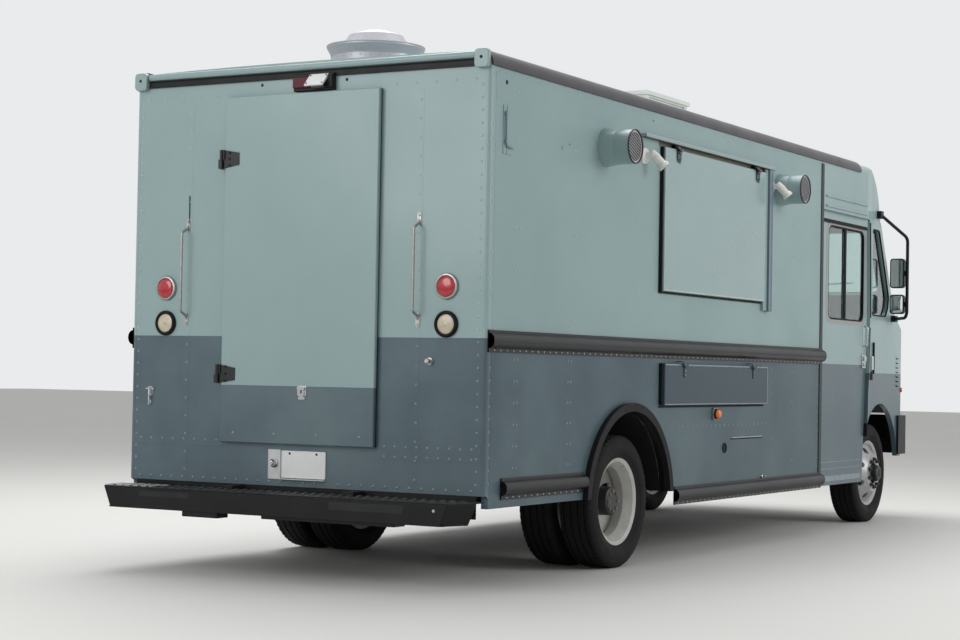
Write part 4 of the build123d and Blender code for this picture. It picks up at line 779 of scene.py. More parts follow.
def rivet(radius: float = 0.0085, height: float = 0.004) -> Shape:
    """A round-head rivet that stands on the XY plane."""
    return Shape().lathe([(0, radius), (height * 0.6, radius * 0.8), (height, radius * 0.35)], (0, 0, 0),
                         UP, 8)


def hex_head(radius: float, height: float) -> Shape:
    """A bolt head with a chamfered top that stands on the XY plane."""
    return Shape().lathe([(0, radius), (height * 0.8, radius), (height, radius * 0.8)], (0, 0, 0), UP, 6)


def steps_between(start: float, end: float, pitch: float) -> list[float]:
    """Places from start to end, spaced as near to pitch as fits."""
    count = max(1, round(abs(end - start) / pitch))
    return [start + (end - start) * i / count for i in range(count + 1)]


@dataclass(frozen=True)
class Studio:
    """The plain floor, the soft light and the camera where the photograph was taken from.

    Attributes:
        camera_place: The camera in the truck's frame.
        yaw: Degrees from straight ahead towards the truck's left.
        pitch: Degrees above the horizon.
        roll: Degrees clockwise.
        lens: Focal length for a 36 mm wide frame.
        floor_colour: sRGB colour of the floor and backdrop.
        floor_reach: Half the floor's width.
        world_light: Strength of the even light from all round.
        backdrop: sRGB colour where the camera or a reflection looks past the truck.
    """

    camera_place: Point = (-12.5495, -6.28, 1.146)
    yaw: float = 29.712
    pitch: float = 1.525
    roll: float = 1.027
    lens: float = 74.53
    floor_colour: str = "#D9D8D5"
    floor_reach: float = 60.0
    world_light: float = 0.5
    backdrop: str = "#E9EBEC"

    def build(self) -> None:
        """Set up floor, world, lamps and camera."""
        self.camera()
        self.floor()
        self.world()
        self.lamps()
        bpy.context.scene.view_settings.view_transform = "Standard"

    def camera(self) -> None:
        """Place the camera."""
        turn, rise, lean = radians(self.yaw), radians(self.pitch), radians(self.roll)
        forward = Vector((cos(turn) * cos(rise), sin(turn) * cos(rise), sin(rise)))
        level = Vector((sin(turn), -cos(turn), 0))
        above = level.cross(forward)
        right = level * cos(lean) + above * sin(lean)
        up = above * cos(lean) - level * sin(lean)
        lens = bpy.data.cameras.new("camera")
        lens.lens, lens.sensor_width, lens.clip_end = self.lens, 36.0, 200.0
        made = bpy.data.objects.new("camera", lens)
        bpy.context.scene.collection.objects.link(made)
        aimed = Matrix((right, up, -forward)).transposed().to_4x4()
        made.matrix_world = Matrix.Translation(Vector(self.camera_place)) @ aimed
        bpy.context.scene.camera = made

    def floor(self) -> None:
        """Lay the floor as one large sheet."""
        far = self.floor_reach
        mesh = bpy.data.meshes.new("studio_floor")
        mesh.from_pydata([(-far, -far, 0), (far, -far, 0), (far, far, 0), (-far, far, 0)], [], [(0, 1, 2, 3)])
        made = bpy.data.objects.new("studio_floor", mesh)
        bpy.context.scene.collection.objects.link(made)
        grain = Grain(2000, 0.05, 8, 0.02)
        colour = self.floor_colour
        mesh.materials.append(Finish("pale studio floor", colour, colour, 0.7, grain=grain).build())

    def world(self) -> None:
        """Light evenly from all round, with a pale backdrop where the camera or a reflection looks."""
        world = bpy.data.worlds.new("studio world")
        bpy.context.scene.world = world
        world.use_nodes = True
        tree = world.node_tree
        tree.nodes.clear()
        path = add_node(tree, "LightPath").outputs
        seen = add_node(tree, "Math", {0: path["Is Camera Ray"], 1: path["Is Glossy Ray"]},
                        operation="MAXIMUM")
        seen = add_node(tree, "Math", {0: seen.outputs[0], 1: path["Is Transmission Ray"]},
                        operation="MAXIMUM")
        light = add_node(tree, "Background", {"Color": (1.0, 1.0, 1.0, 1.0), "Strength": self.world_light})
        shown = add_node(tree, "Background", {"Color": linear(self.backdrop), "Strength": 1.0})
        both = add_node(tree, "MixShader", {0: seen.outputs[0], 1: light.outputs[0], 2: shown.outputs[0]})
        output = tree.nodes.new("ShaderNodeOutputWorld")
        tree.links.new(both.outputs[0], output.inputs["Surface"])

    def lamps(self) -> None:
        """Hang three large soft lamps: over the roof, beside the right side and behind the rear."""
        for name, place, aim, size, power in (
            ("overhead lamp", (1.0, 2.0, 9.0), (0.0, 0.0, 1.0), 8.0, 700.0),
            ("side lamp", (2.0, -12.0, 5.5), (0.5, 0.0, 1.3), 7.0, 480.0),
            ("rear lamp", (-12.0, 3.0, 5.0), (-3.0, 0.0, 1.5), 6.0, 330.0),
        ):
            data = bpy.data.lights.new(name, "AREA")
            data.shape, data.size, data.energy = "DISK", size, power
            made = bpy.data.objects.new(name, data)
            bpy.context.scene.collection.objects.link(made)
            made.location = place
            made.rotation_mode = "QUATERNION"
            made.rotation_quaternion = (Vector(aim) - Vector(place)).to_track_quat("-Z", "Y")


def on_rear(y: float, z: float, out: float = 0.0) -> Matrix:
    """Frame on the rear wall that faces back, with its X to the truck's right."""
    return facing((REAR_FACE - out, y, z), BACK)


def on_side(side: Side, distance: float, z: float, out: float = 0.0) -> Matrix:
    """Frame on a side wall that faces outwards; on the right side its X is forward."""
    return facing((station(distance), side.value * (HALF_WIDTH + out), z), side.outward)


def spaced(start: Pair, end: Pair, pitch: float) -> list[Pair]:
    """Points from start to end in a plane, spaced as near to pitch as fits."""
    count = max(1, round(sqrt((end[0] - start[0]) ** 2 + (end[1] - start[1]) ** 2) / pitch))
    shares = [i / count for i in range(count + 1)]
    return [(start[0] + (end[0] - start[0]) * t, start[1] + (end[1] - start[1]) * t) for t in shares]


def ring(outer: Sequence[Pair], inner: Sequence[Pair], place: Matrix, low: float, high: float) -> Shape:
    """Return a flat frame between two outlines of equally many points, from low to high above its plane."""
    loops = [(outer, low), (outer, high), (inner, high), (inner, low), (outer, low)]
    return Shape().loft([[place @ Vector((u, v, w)) for u, v in loop] for loop, w in loops], capped=False)


Line = tuple[Pair, Pair, float]


def moved(place: Matrix, x: float = 0.0, y: float = 0.0, z: float = 0.0) -> Matrix:
    """A frame shifted along its own axes."""
    return place @ Matrix.Translation((x, y, z))


def uprights(low: float, high: float, pitch: float, *places: float) -> tuple[Line, ...]:
    """Upright rivet lines of one height, one at each distance."""
    return tuple(((x, low), (x, high), pitch) for x in places)


def around(count: int, start: float = 0.0) -> list[float]:
    """Angles of a full turn in even steps, the first one start steps on."""
    return [2 * pi * (i + start) / count for i in range(count)]


@dataclass(frozen=True)
class Panelling:
    """Rivets and lapped edges of the body's outer sheets.

    Attributes:
        lap: How far a lapped sheet's edge stands proud.
        rear_lines: Rivet lines on the rear wall: start and end as (y, z), and pitch.
        side_lines: Rivet lines on both sides: start and end as (distance, z), and pitch.
        right_lines: Rivet lines on the serving side alone.
        left_lines: Rivet lines on the driver's side alone.
        rear_laps: Upright lapped strips on the rear wall: lowest and highest y, and z.
        rear_joints: The level ones, which lie over the upright ones.
        post_run: Where the side sheet tucks under the corner post.
        post_z: Height of the corner posts.
    """

    lap: float = 0.0007
    rear_lines: tuple[Line, ...] = (
        *uprights(0.56, 2.66, 0.067, 1.134, -1.13),
        *uprights(0.57, 2.6, 0.1, 0.781, -0.754),
        ((1.1, 0.742), (0.56, 0.742), 0.073),
        ((-0.56, 0.744), (-1.1, 0.744), 0.064),
        ((-0.56, 0.69), (-1.1, 0.69), 0.064),
        ((1.1, 0.526), (-1.1, 0.526), 0.075),
        ((1.09, 2.69), (0.6, 2.69), 0.12),
        ((-0.6, 2.69), (-1.09, 2.69), 0.12),
    )
    side_lines: tuple[Line, ...] = (
        *uprights(0.5, 2.72, 0.067, 0.036),
        *uprights(0.64, 1.22, 0.115, 0.3, 0.336, 0.93, 0.966),
        *uprights(1.45, 2.65, 0.24, 0.3, 0.336, 0.966, 1.002),
        *uprights(0.56, 2.65, 0.2, 4.42, 4.456),
        *uprights(0.5, 2.7, 0.067, 4.96),
        ((0.1, 2.735), (4.96, 2.735), 0.15),
    )
    right_lines: tuple[Line, ...] = (
        ((2.45, 0.83), (3.95, 0.83), 0.075),
        *uprights(0.56, 1.2, 0.08, 4.04),
        *uprights(1.45, 2.3, 0.24, 1.8, 1.836),
    )
    left_lines: tuple[Line, ...] = uprights(0.56, 2.65, 0.2, 2.5, 2.536, 3.46, 3.496)
    rear_laps: tuple[tuple[float, ...], ...] = ((0.762, 0.8, 0.552, 2.655), (-0.773, -0.735, 0.552, 2.655))
    rear_joints: tuple[tuple[float, ...], ...] = ((0.52, 1.155, 0.706, 0.772), (-1.155, -0.52, 0.672, 0.768))
    post_run: Pair = (0.056, 0.06)
    post_z: Pair = (0.5, 2.74)

    def build(self) -> None:
        """Rivet the three walls and lap the rear sheets."""
        places = [on_rear(y, z) for line in self.rear_lines for y, z in spaced(*line)]
        # The rear rivets take a paler paint than the sheet: a painted highlight on their heads
        Shape().copies(rivet(), places).piece("rear_rivets", Palette.RIVET_ENAMEL)
        for side in Side:
            lines = self.side_lines + (self.right_lines if side is Side.RIGHT else self.left_lines)
            spots = [spot for line in lines for spot in spaced(*line)]
            places = [on_side(side, x, z) for x, z in spots if self.clear_of_rails(z)]
            # The side rivets take the same paler paint: a painted highlight on their heads
            Shape().copies(rivet(), places).piece(f"side_rivets_{side.word}", Palette.RIVET_ENAMEL)
        laps = Shape()
        for strips, proud in ((self.rear_laps, self.lap), (self.rear_joints, self.lap * 2)):
            for low_y, high_y, low_z, high_z in strips:
                laps.rear_box((-proud, proud), (low_y, high_y), (low_z, high_z))
        laps.piece("rear_sheet_laps", Palette.REAR_ENAMEL, bevel=0.0006)
        self.corner_posts()

    def clear_of_rails(self, z: float) -> bool:
        """Tell whether a height is clear of the belt rail and of the lower rails."""
        return not 1.235 < z < 1.4 and z > 0.47

    def corner_posts(self) -> None:
        """Add the edge of the extruded corner posts that the rear and side sheets tuck under."""
        posts = Shape()
        low, high = self.post_z
        proud = (-self.lap, self.lap)
        for side in Side:
            y = side.value * (HALF_WIDTH - 0.028)
            posts.rear_box(proud, (y - 0.002, y + 0.002), (low + 0.02, high))
            posts.side_box(self.post_run, proud, (low, high), side)
        posts.piece("corner_post_edges", Palette.REAR_ENAMEL)


@dataclass(frozen=True)
class RearTrim:
    """Cap ends, wire holes, lamp channel, high lamp and camera, latches, hinge bolts and pin of the rear.

    Attributes:
        channel_z: Lower and upper edge of the black channel under the cap.
        channel_y: Its two ends.
        hinge_levels: Lower and upper edge of each door hinge.
        chips: Y, z and size of each chip in the door's paint.
    """

    channel_z: Pair = (2.757, 2.796)
    channel_y: Pair = (-1.076, 1.09)
    hinge_levels: tuple[Pair, ...] = ((1.061, 1.171), (2.271, 2.372))
    chips: tuple[Point, ...] = (
        (-0.318, 0.905, 0.004),
        (-0.352, 0.872, 0.0028),
        (-0.401, 0.934, 0.005),
        (-0.376, 0.828, 0.003),
        (-0.437, 0.79, 0.0042),
    )

    def build(self) -> None:
        """Build each fitting."""
        self.cap_ends()
        self.channel()
        self.high_lamp()
        self.hook_latch()
        self.pull_latch()
        self.hinge_bolts()
        pin = [(0, 0.02), (0.004, 0.02), (0.005, 0.011), (0.022, 0.01), (0.026, 0.015), (0.034, 0.015)]
        pin.append((0.038, 0.01))
        turned("door_stop_pin", Palette.ZINC_PLATE, pin, (REAR_FACE, -0.835, 1.203), BACK, 24)

    def cap_ends(self) -> None:
        """Close the ends of the roof's rear bar with holed plates, the holes and the wire holes being
        near-black discs of painted shade.
        """
        plates, holes, bores = Shape(), Shape(), Shape()
        for side in Side:
            middle = on_rear(side.value * 1.135, 2.795)
            plates.plate((0.086, 0.1, 0.022), middle, 0.034)
            holes.lathe([(0, 0.009), (0.0005, 0.009)], middle @ Vector((0, 0.004, 0.0342)), BACK, 16)
        plates.piece("roof_cap_end_plates", Palette.MINT_ENAMEL, bevel=0.005)
        holes.piece("roof_cap_end_holes", Palette.DARK_INSIDE)
        spots = [(on_rear(y, z), 0.009) for y, z in ((0.292, 2.733), (-0.275, 2.733), (1.15, 2.775))]
        for x, z, radius in ((0.168, 2.689, 0.013), (0.905, 2.438, 0.005), (2.02, 2.705, 0.006)):
            spots.append((on_side(Side.RIGHT, x, z), radius))
        for place, radius in spots:
            bores.copies(Shape().lathe([(0, radius), (0.0006, radius)], (0, 0, 0), UP, 16), [place])
        bores.piece("wire_holes", Palette.DARK_INSIDE)

    def channel(self) -> None:
        """Add the black lamp channel: a web with two lips."""
        low, high = self.channel_z
        web, reach, lip = 0.003, 0.014, 0.004
        section = [(0, low), (-reach, low), (-reach, low + lip), (-web, low + lip)]
        section += [(-web, high - lip), (-reach, high - lip), (-reach, high), (0, high)]
        rings = [[(REAR_FACE + x, y, z) for x, z in section] for y in self.channel_y]
        Shape().loft(rings).piece("rear_lamp_channel", Palette.BLACK_PLASTIC, bevel=0.0008)

    def high_lamp(self) -> None:
        """Add the centre high lamp: dark red lens in a black box, with the hooded camera beside it."""
        for name, finish, out, y, z, bevel in (
            ("high_lamp_housing", Palette.BLACK_PLASTIC, (0, 0.026), (-0.206, 0.062), (2.68, 2.775), 0.005),
            ("high_lamp_lens", Palette.DARK_RED_LENS, (0.02, 0.04), (-0.052, 0.06), (2.697, 2.755), 0.006),
            ("high_lamp_cover", Palette.BLACK_PLASTIC, (0.02, 0.04), (-0.204, -0.15), (2.69, 2.765), 0.006),
            ("camera_body", Palette.RUSTY_STEEL, (0.024, 0.07), (-0.15, -0.075), (2.694, 2.726), 0.004),
        ):
            stands_for = ("rear_lamps",) if name == "high_lamp_housing" else ()
            Shape().rear_box(out, y, z).piece(name, finish, bevel=bevel, stands_for=stands_for)
        profile = [(0.024, 2.77), (0.032, 2.77), (0.092, 2.702), (0.086, 2.696), (0.024, 2.752)]
        hood = Shape().loft([[(REAR_FACE - out, y, z) for out, z in profile] for y in (-0.174, -0.052)])
        hood.piece("camera_hood", Palette.SLAT_SILVER, bevel=0.002)
        slope = (-0.068, 0, 0.06)
        spots = [(x, z, y) for x, z in ((0.04, 2.7613), (0.082, 2.7137)) for y in (-0.164, -0.062)]
        places = [facing((REAR_FACE - x, y, z), slope) for x, z, y in spots]
        screws = Shape().copies(hex_head(0.0045, 0.003), places)
        screws.piece("camera_hood_screws", Palette.CHASSIS_ENAMEL)

    def hook_latch(self) -> None:
        """Add the chrome hook latch on the wall's left side."""
        latch = Shape()
        place = on_rear(1.038, 1.01)
        latch.plate((0.034, 0.052, 0.006), place, 0.004)
        latch.prism([(-0.03, 0.008), (0.03, 0.008), (0.03, 0.018), (-0.03, 0.018)], place, 0.01)
        hook = ((0, 0.02, 0.012), (0, -0.03, 0.016), (0.004, -0.062, 0.018), (-0.004, -0.078, 0.012))
        latch.tube(rounded_path([place @ Vector(p) for p in hook], 0.012), 0.005, 10)
        latch.plate((0.02, 0.026, 0.006), moved(place, 0, -0.066), 0.005)
        corners = [moved(place, x, y, 0.004) for x in (-0.011, 0.011) for y in (-0.019, 0.02)]
        latch.copies(hex_head(0.004, 0.003), corners)
        latch.piece("hook_latch", Palette.CHROME, bevel=0.0008)

    def pull_latch(self) -> None:
        """Add the pull latch on the door: plate, lip, grip and foot, and its keyway."""
        place = facing((DOOR_FACE, -0.044, 1.03), BACK)
        pull = Shape()
        for size, rise, depth in (
            ((0.06, 0.058, 0.008), 0.0, 0.004),
            ((0.05, 0.02, 0.008), 0.014, 0.016),
            ((0.036, 0.046, 0.01), -0.01, 0.01),
            ((0.044, 0.016, 0.004), -0.04, 0.006),
        ):
            pull.plate(size, moved(place, 0, rise), depth)
        pull.piece("door_pull_latch", Palette.CHROME, "rear_door", bevel=0.0015)
        slot = Shape().plate((0.008, 0.02, 0.003), moved(place, 0, -0.004, 0.0102), 0.0006)
        slot.piece("door_latch_keyway", Palette.DARK_INSIDE, "rear_door")

    def hinge_bolts(self) -> None:
        """Bolt both door hinges, screw the door's skin down along its foot, and chip its paint."""
        leaf, wall, foot, chips = Shape(), Shape(), Shape(), Shape()
        for low, high in self.hinge_levels:
            heights = steps_between(low + 0.016, high - 0.014, 0.039)
            leaf.copies(hex_head(0.0075, 0.005),
                        [facing((DOOR_FACE - 0.005, 0.478, z), BACK) for z in heights])
            wall.copies(hex_head(0.0075, 0.005), [on_rear(0.56, z, 0.005) for z in heights])
        leaf.piece("door_hinge_bolts", Palette.BLACK_PLASTIC, "rear_door")
        wall.piece("wall_hinge_bolts", Palette.BLACK_PLASTIC)
        places = [facing((DOOR_FACE, y, 0.79), BACK) for y in steps_between(-0.42, 0.42, 0.28)]
        foot.copies(rivet(0.007, 0.002), places)
        foot.piece("door_foot_screws", Palette.WORN_SLATE, "rear_door")
        ragged = [(a, 0.7 + 0.5 * (i * 5 % 7) / 7) for i, a in enumerate(around(7))]
        for y, z, size in self.chips:
            outline = [(size * r * cos(a), size * r * sin(a)) for a, r in ragged]
            chips.prism(outline, facing((DOOR_FACE, y, z), BACK), 0.0003)
        chips.piece("door_paint_chips", Palette.RUSTY_STEEL, "rear_door")


@dataclass(frozen=True)
class RoundLamps:
    """The two pairs of round lamps on the rear wall.

    Attributes:
        across: Distance of each pair from the middle.
        red_z: Height of the red ones.
        white_z: Height of the reversing ones.
    """

    across: float = 0.935
    red_z: float = 1.6
    white_z: float = 1.4

    def build(self) -> None:
        """Build rings, shells and lenses."""
        bezel = [(0, 0.07), (0.01, 0.07), (0.016, 0.066), (0.018, 0.058), (0.012, 0.053), (0.004, 0.052)]
        rubber = [(0, 0.071), (0.012, 0.071), (0.019, 0.066), (0.021, 0.06), (0.018, 0.054), (0.01, 0.053)]
        domed = [(0.004, 0.053), (0.014, 0.053), (0.019, 0.046), (0.022, 0.03), (0.023, 0.0)]
        flat = [(0.002, 0.053), (0.01, 0.053), (0.014, 0.044), (0.016, 0.02), (0.0165, 0.0)]
        boss = [(0.0155, 0.008), (0.017, 0.008), (0.0175, 0.005)]
        for side in Side:
            for name, finish, profile, z, steps in (
                ("red_lamp_bezel", Palette.ZINC_PLATE, bezel, self.red_z, 48),
                ("red_lamp_lens", Palette.RED_LENS, domed, self.red_z, 48),
                ("reverse_lamp_seal", Palette.SEAL_RUBBER, rubber + [(0.004, 0.053)], self.white_z, 48),
                ("reverse_lamp_lens", Palette.YELLOWED_LENS, flat, self.white_z, 48),
                ("reverse_lamp_boss", Palette.ZINC_PLATE, boss, self.white_z, 16),
            ):
                origin = (REAR_FACE, side.value * self.across, z)
                turned(f"{name}_{side.word}", finish, profile, origin, BACK, steps)


@dataclass(frozen=True)
class RearGrabHandles:
    """Bent-rod grab handles with flat lugs, one each side of the rear door.

    Attributes:
        rod: Radius of the rod.
        reach: How far the grip stands off the wall.
        low: Height of a handle's lower end.
        high: Height of its upper end.
        places: Y of the left and of the right handle.
    """

    rod: float = 0.007
    reach: float = 0.058
    low: float = 1.395
    high: float = 1.985
    places: tuple[tuple[str, float], ...] = (("left", 0.79), ("right", -0.757))

    def build(self) -> None:
        """Bend both rods, and rest the loose wire over the left one."""
        low, high = self.low, self.high
        bends = [(-0.004, low + 0.03), (-0.012, low + 0.05), (-self.reach, low + 0.072)]
        bends += [(-self.reach, high - 0.072), (-0.012, high - 0.05), (-0.004, high - 0.03)]
        for word, y in self.places:
            handle = Shape()
            handle.tube(rounded_path([(REAR_FACE + x, y, z) for x, z in bends], 0.012), self.rod, 14)
            for z in (low + 0.026, high - 0.026):
                handle.plate((0.026, 0.072, 0.012), on_rear(y, z), 0.005)
                bolts = [on_rear(y, z + step, 0.005) for step in (-0.022, 0.022)]
                handle.copies(hex_head(0.0065, 0.005), bolts)
            stands_for = ("grab_handles",) if word == "left" else ()
            handle.piece(f"grab_handle_{word}", Palette.ZINC_PLATE, bevel=0.0008, stands_for=stands_for)
        wire = [(REAR_FACE - 0.004, 0.7815, 1.965), (REAR_FACE - 0.006, 0.781, 2.126)]
        Shape().tube(wire, 0.0024, 8).piece("handle_wire_stub", Palette.CHASSIS_ENAMEL)


@dataclass(frozen=True)
class PlateBox:
    """Recessed licence plate holder with a lamp flange and a blank plate.

    Attributes:
        sides: Y of its right and left edge.
        levels: Height of its lower and upper edge.
        plate: Y and height of the blank plate's middle.
        lamp: Y and height of its lamp.
    """

    sides: Pair = (-0.187, 0.197)
    levels: Pair = (0.54, 0.703)
    plate: Pair = (-0.038, 0.624)
    lamp: Pair = (0.155, 0.63)

    def build(self) -> None:
        """Build the tray, the lamp and the bare plate."""
        right, left = self.sides
        low, high = self.levels
        tray = Shape().rear_box((0, 0.004), (0.112, left), (low, high))
        tray.rear_box((0, 0.02), (right, 0.114), (low, low + 0.005))
        tray.rear_box((0, 0.014), (0.108, 0.114), (low, high))
        tray.piece("plate_tray", Palette.WHITE_ALUMINIUM, bevel=0.001)
        body = [(0.004, 0.026), (0.01, 0.026), (0.014, 0.02), (0.03, 0.017), (0.038, 0.012), (0.04, 0.0)]
        cap = [(0.038, 0.009), (0.045, 0.009), (0.048, 0.004)]
        origin = (REAR_FACE, *self.lamp)
        turned("plate_lamp_body", Palette.CHROME, body, origin, BACK, 28)
        turned("plate_lamp_lens", Palette.CLEAR_LENS, cap, origin, BACK, 16)
        place = on_rear(*self.plate, 0.003)
        plate = Shape().plate((0.298, 0.15, 0.01), place, 0.0016)
        plate.piece("blank_plate", Palette.PLATE_ENAMEL, bevel=0.0005)
        outer, inner = rounded_rectangle(0.294, 0.146, 0.009), rounded_rectangle(0.288, 0.14, 0.007)
        ring(outer, inner, place, 0.0014, 0.0026).piece("blank_plate_rim", Palette.PLATE_ENAMEL)
        screws = [moved(place, across, 0.06, 0.0016) for across in (-0.089, 0.089)]
        Shape().copies(hex_head(0.0065, 0.004), screws).piece("plate_screws", Palette.BLACK_PLASTIC)


@dataclass(frozen=True)
class StepBumper:
    """Black channel step across the rear with grip buttons on its tread.

    Attributes:
        half: Half its width.
        top: Height of its tread.
        front: How far its front edge is behind the rear wall.
        bend: How far behind the wall its ends start to slant.
        reach: How far its outer edge is behind the rear wall.
        corner: Where its bevelled ends begin, in from each end.
        face_height: Depth of its outer face.
        tuck: How much shorter its lower edge is at each end.
        thick: Thickness of its plate.
    """

    half: float = 1.198
    top: float = 0.476
    front: float = 0.02
    bend: float = 0.105
    reach: float = 0.284
    corner: float = 0.072
    face_height: float = 0.12
    tuck: float = 0.05
    thick: float = 0.006

    @property
    def low(self) -> float:
        """Height of the outer face's lower edge."""
        return self.top - self.face_height

    def build(self) -> None:
        """Build the folded channel, the buttons and what hangs below it."""
        edge, inner = self.outline(0), self.outline(self.thick)
        under = self.top - self.thick
        channel = Shape().prism(edge, Matrix.Translation((0, 0, under)), self.thick)
        pinch = 1 - self.tuck / self.half
        for i in range(len(edge) - 3):
            corners = (edge[i + 1], edge[i + 2], inner[i + 2], inner[i + 1])
            foot = [(x, y * pinch, self.low) for x, y in corners]
            channel.loft([foot, [(x, y, under) for x, y in corners]])
        inside = self.half - 0.1
        channel.rear_box((0.215, self.reach - 0.01), (-inside, inside), (self.low, self.low + self.thick))
        channel.piece("step_channel", Palette.STEP_ENAMEL, bevel=0.004, stands_for=("rear_step",))
        self.tread()
        self.brackets()

    def outline(self, inset: float) -> list[Pair]:
        """Plan of the step, drawn inset by its plate's thickness."""
        half, back = self.half - inset, REAR_FACE - self.reach + inset
        front, start = REAR_FACE - self.front, REAR_FACE - self.bend
        right = [(front, -half), (start, -half), (back, -half + self.corner)]
        return right + [(x, -y) for x, y in reversed(right)]

    def tread(self) -> None:
        """Punch raised grip buttons in the tread, and lay the slotted plate over its left end."""
        profile = [(0, 0.016), (0.003, 0.014), (0.0045, 0.009), (0.0045, 0.006), (0.0015, 0.0055)]
        button = Shape().lathe(profile, (0, 0, 0), UP, 12)
        places = []
        for row in range(4):
            back = REAR_FACE - 0.065 - 0.055 * row
            shift = 0.029 if row % 2 else 0.0
            spots = [(back, y + shift, self.top) for y in steps_between(-1.09, 1.06, 0.058)]
            places.extend(Matrix.Translation(spot) for spot in spots)
        Shape().copies(button, places).piece("step_grip_buttons", Palette.WORN_STEP)
        slots = Shape()
        for y in steps_between(0.86, 1.14, 0.056):
            place = Matrix.Translation((REAR_FACE - 0.15, y, self.top + 0.0042))
            slots.plate((0.12, 0.014, 0.006), place, 0.0006)
        slots.piece("step_plate_slots", Palette.DARK_INSIDE)
        plate = Shape().rear_box((0.065, 0.235), (0.83, 1.165), (self.top, self.top + 0.004))
        plate.piece("step_end_plate", Palette.WHITE_ALUMINIUM, bevel=0.001)

    def brackets(self) -> None:
        """Hang the guards and arms below the channel, with a black riser that paints the shade under the rear
        of the body, and add the face's pads and its bare bolt hole.
        """
        low, reach, top = self.low, self.reach, self.top
        lower, arms, pads = Shape(), Shape(), Shape()
        lower.rear_box((0.17, reach - 0.012), (0.34, 0.58), (low - 0.03, low + 0.01))
        lower.rear_box((0.16, reach - 0.02), (-0.8, 0.05), (low - 0.018, low + 0.01))
        # Full-width black riser under the rear wall: painted shade beneath the body
        lower.rear_box((-0.01, -0.004), (-1.13, 1.13), (0.38, 0.5015))
        lower.piece("step_lower_guards", Palette.STEP_ENAMEL, bevel=0.004)
        for side in Side:
            arms.rear_box((-0.09, 0.1), tuple(sorted((side.value * 0.367, side.value * 0.432))), (low, 0.497))
        arms.piece("step_mounting_arms", Palette.CHASSIS_ENAMEL, bevel=0.003)
        pads.rear_box((reach - 0.004, reach + 0.0004), (0.53, 0.875), (top - 0.052, top - 0.02))
        pads.rear_box((reach - 0.004, reach + 0.0004), (-0.86, -0.4), (top - 0.066, top - 0.022))
        pads.piece("step_face_pads", Palette.RAIL_VINYL, bevel=0.002)
        origin = (REAR_FACE - reach, -1.045, top - 0.04)
        turned("step_bolt_hole", Palette.ZINC_PLATE, [(0, 0.008), (0.0008, 0.008)], origin, BACK, 16)


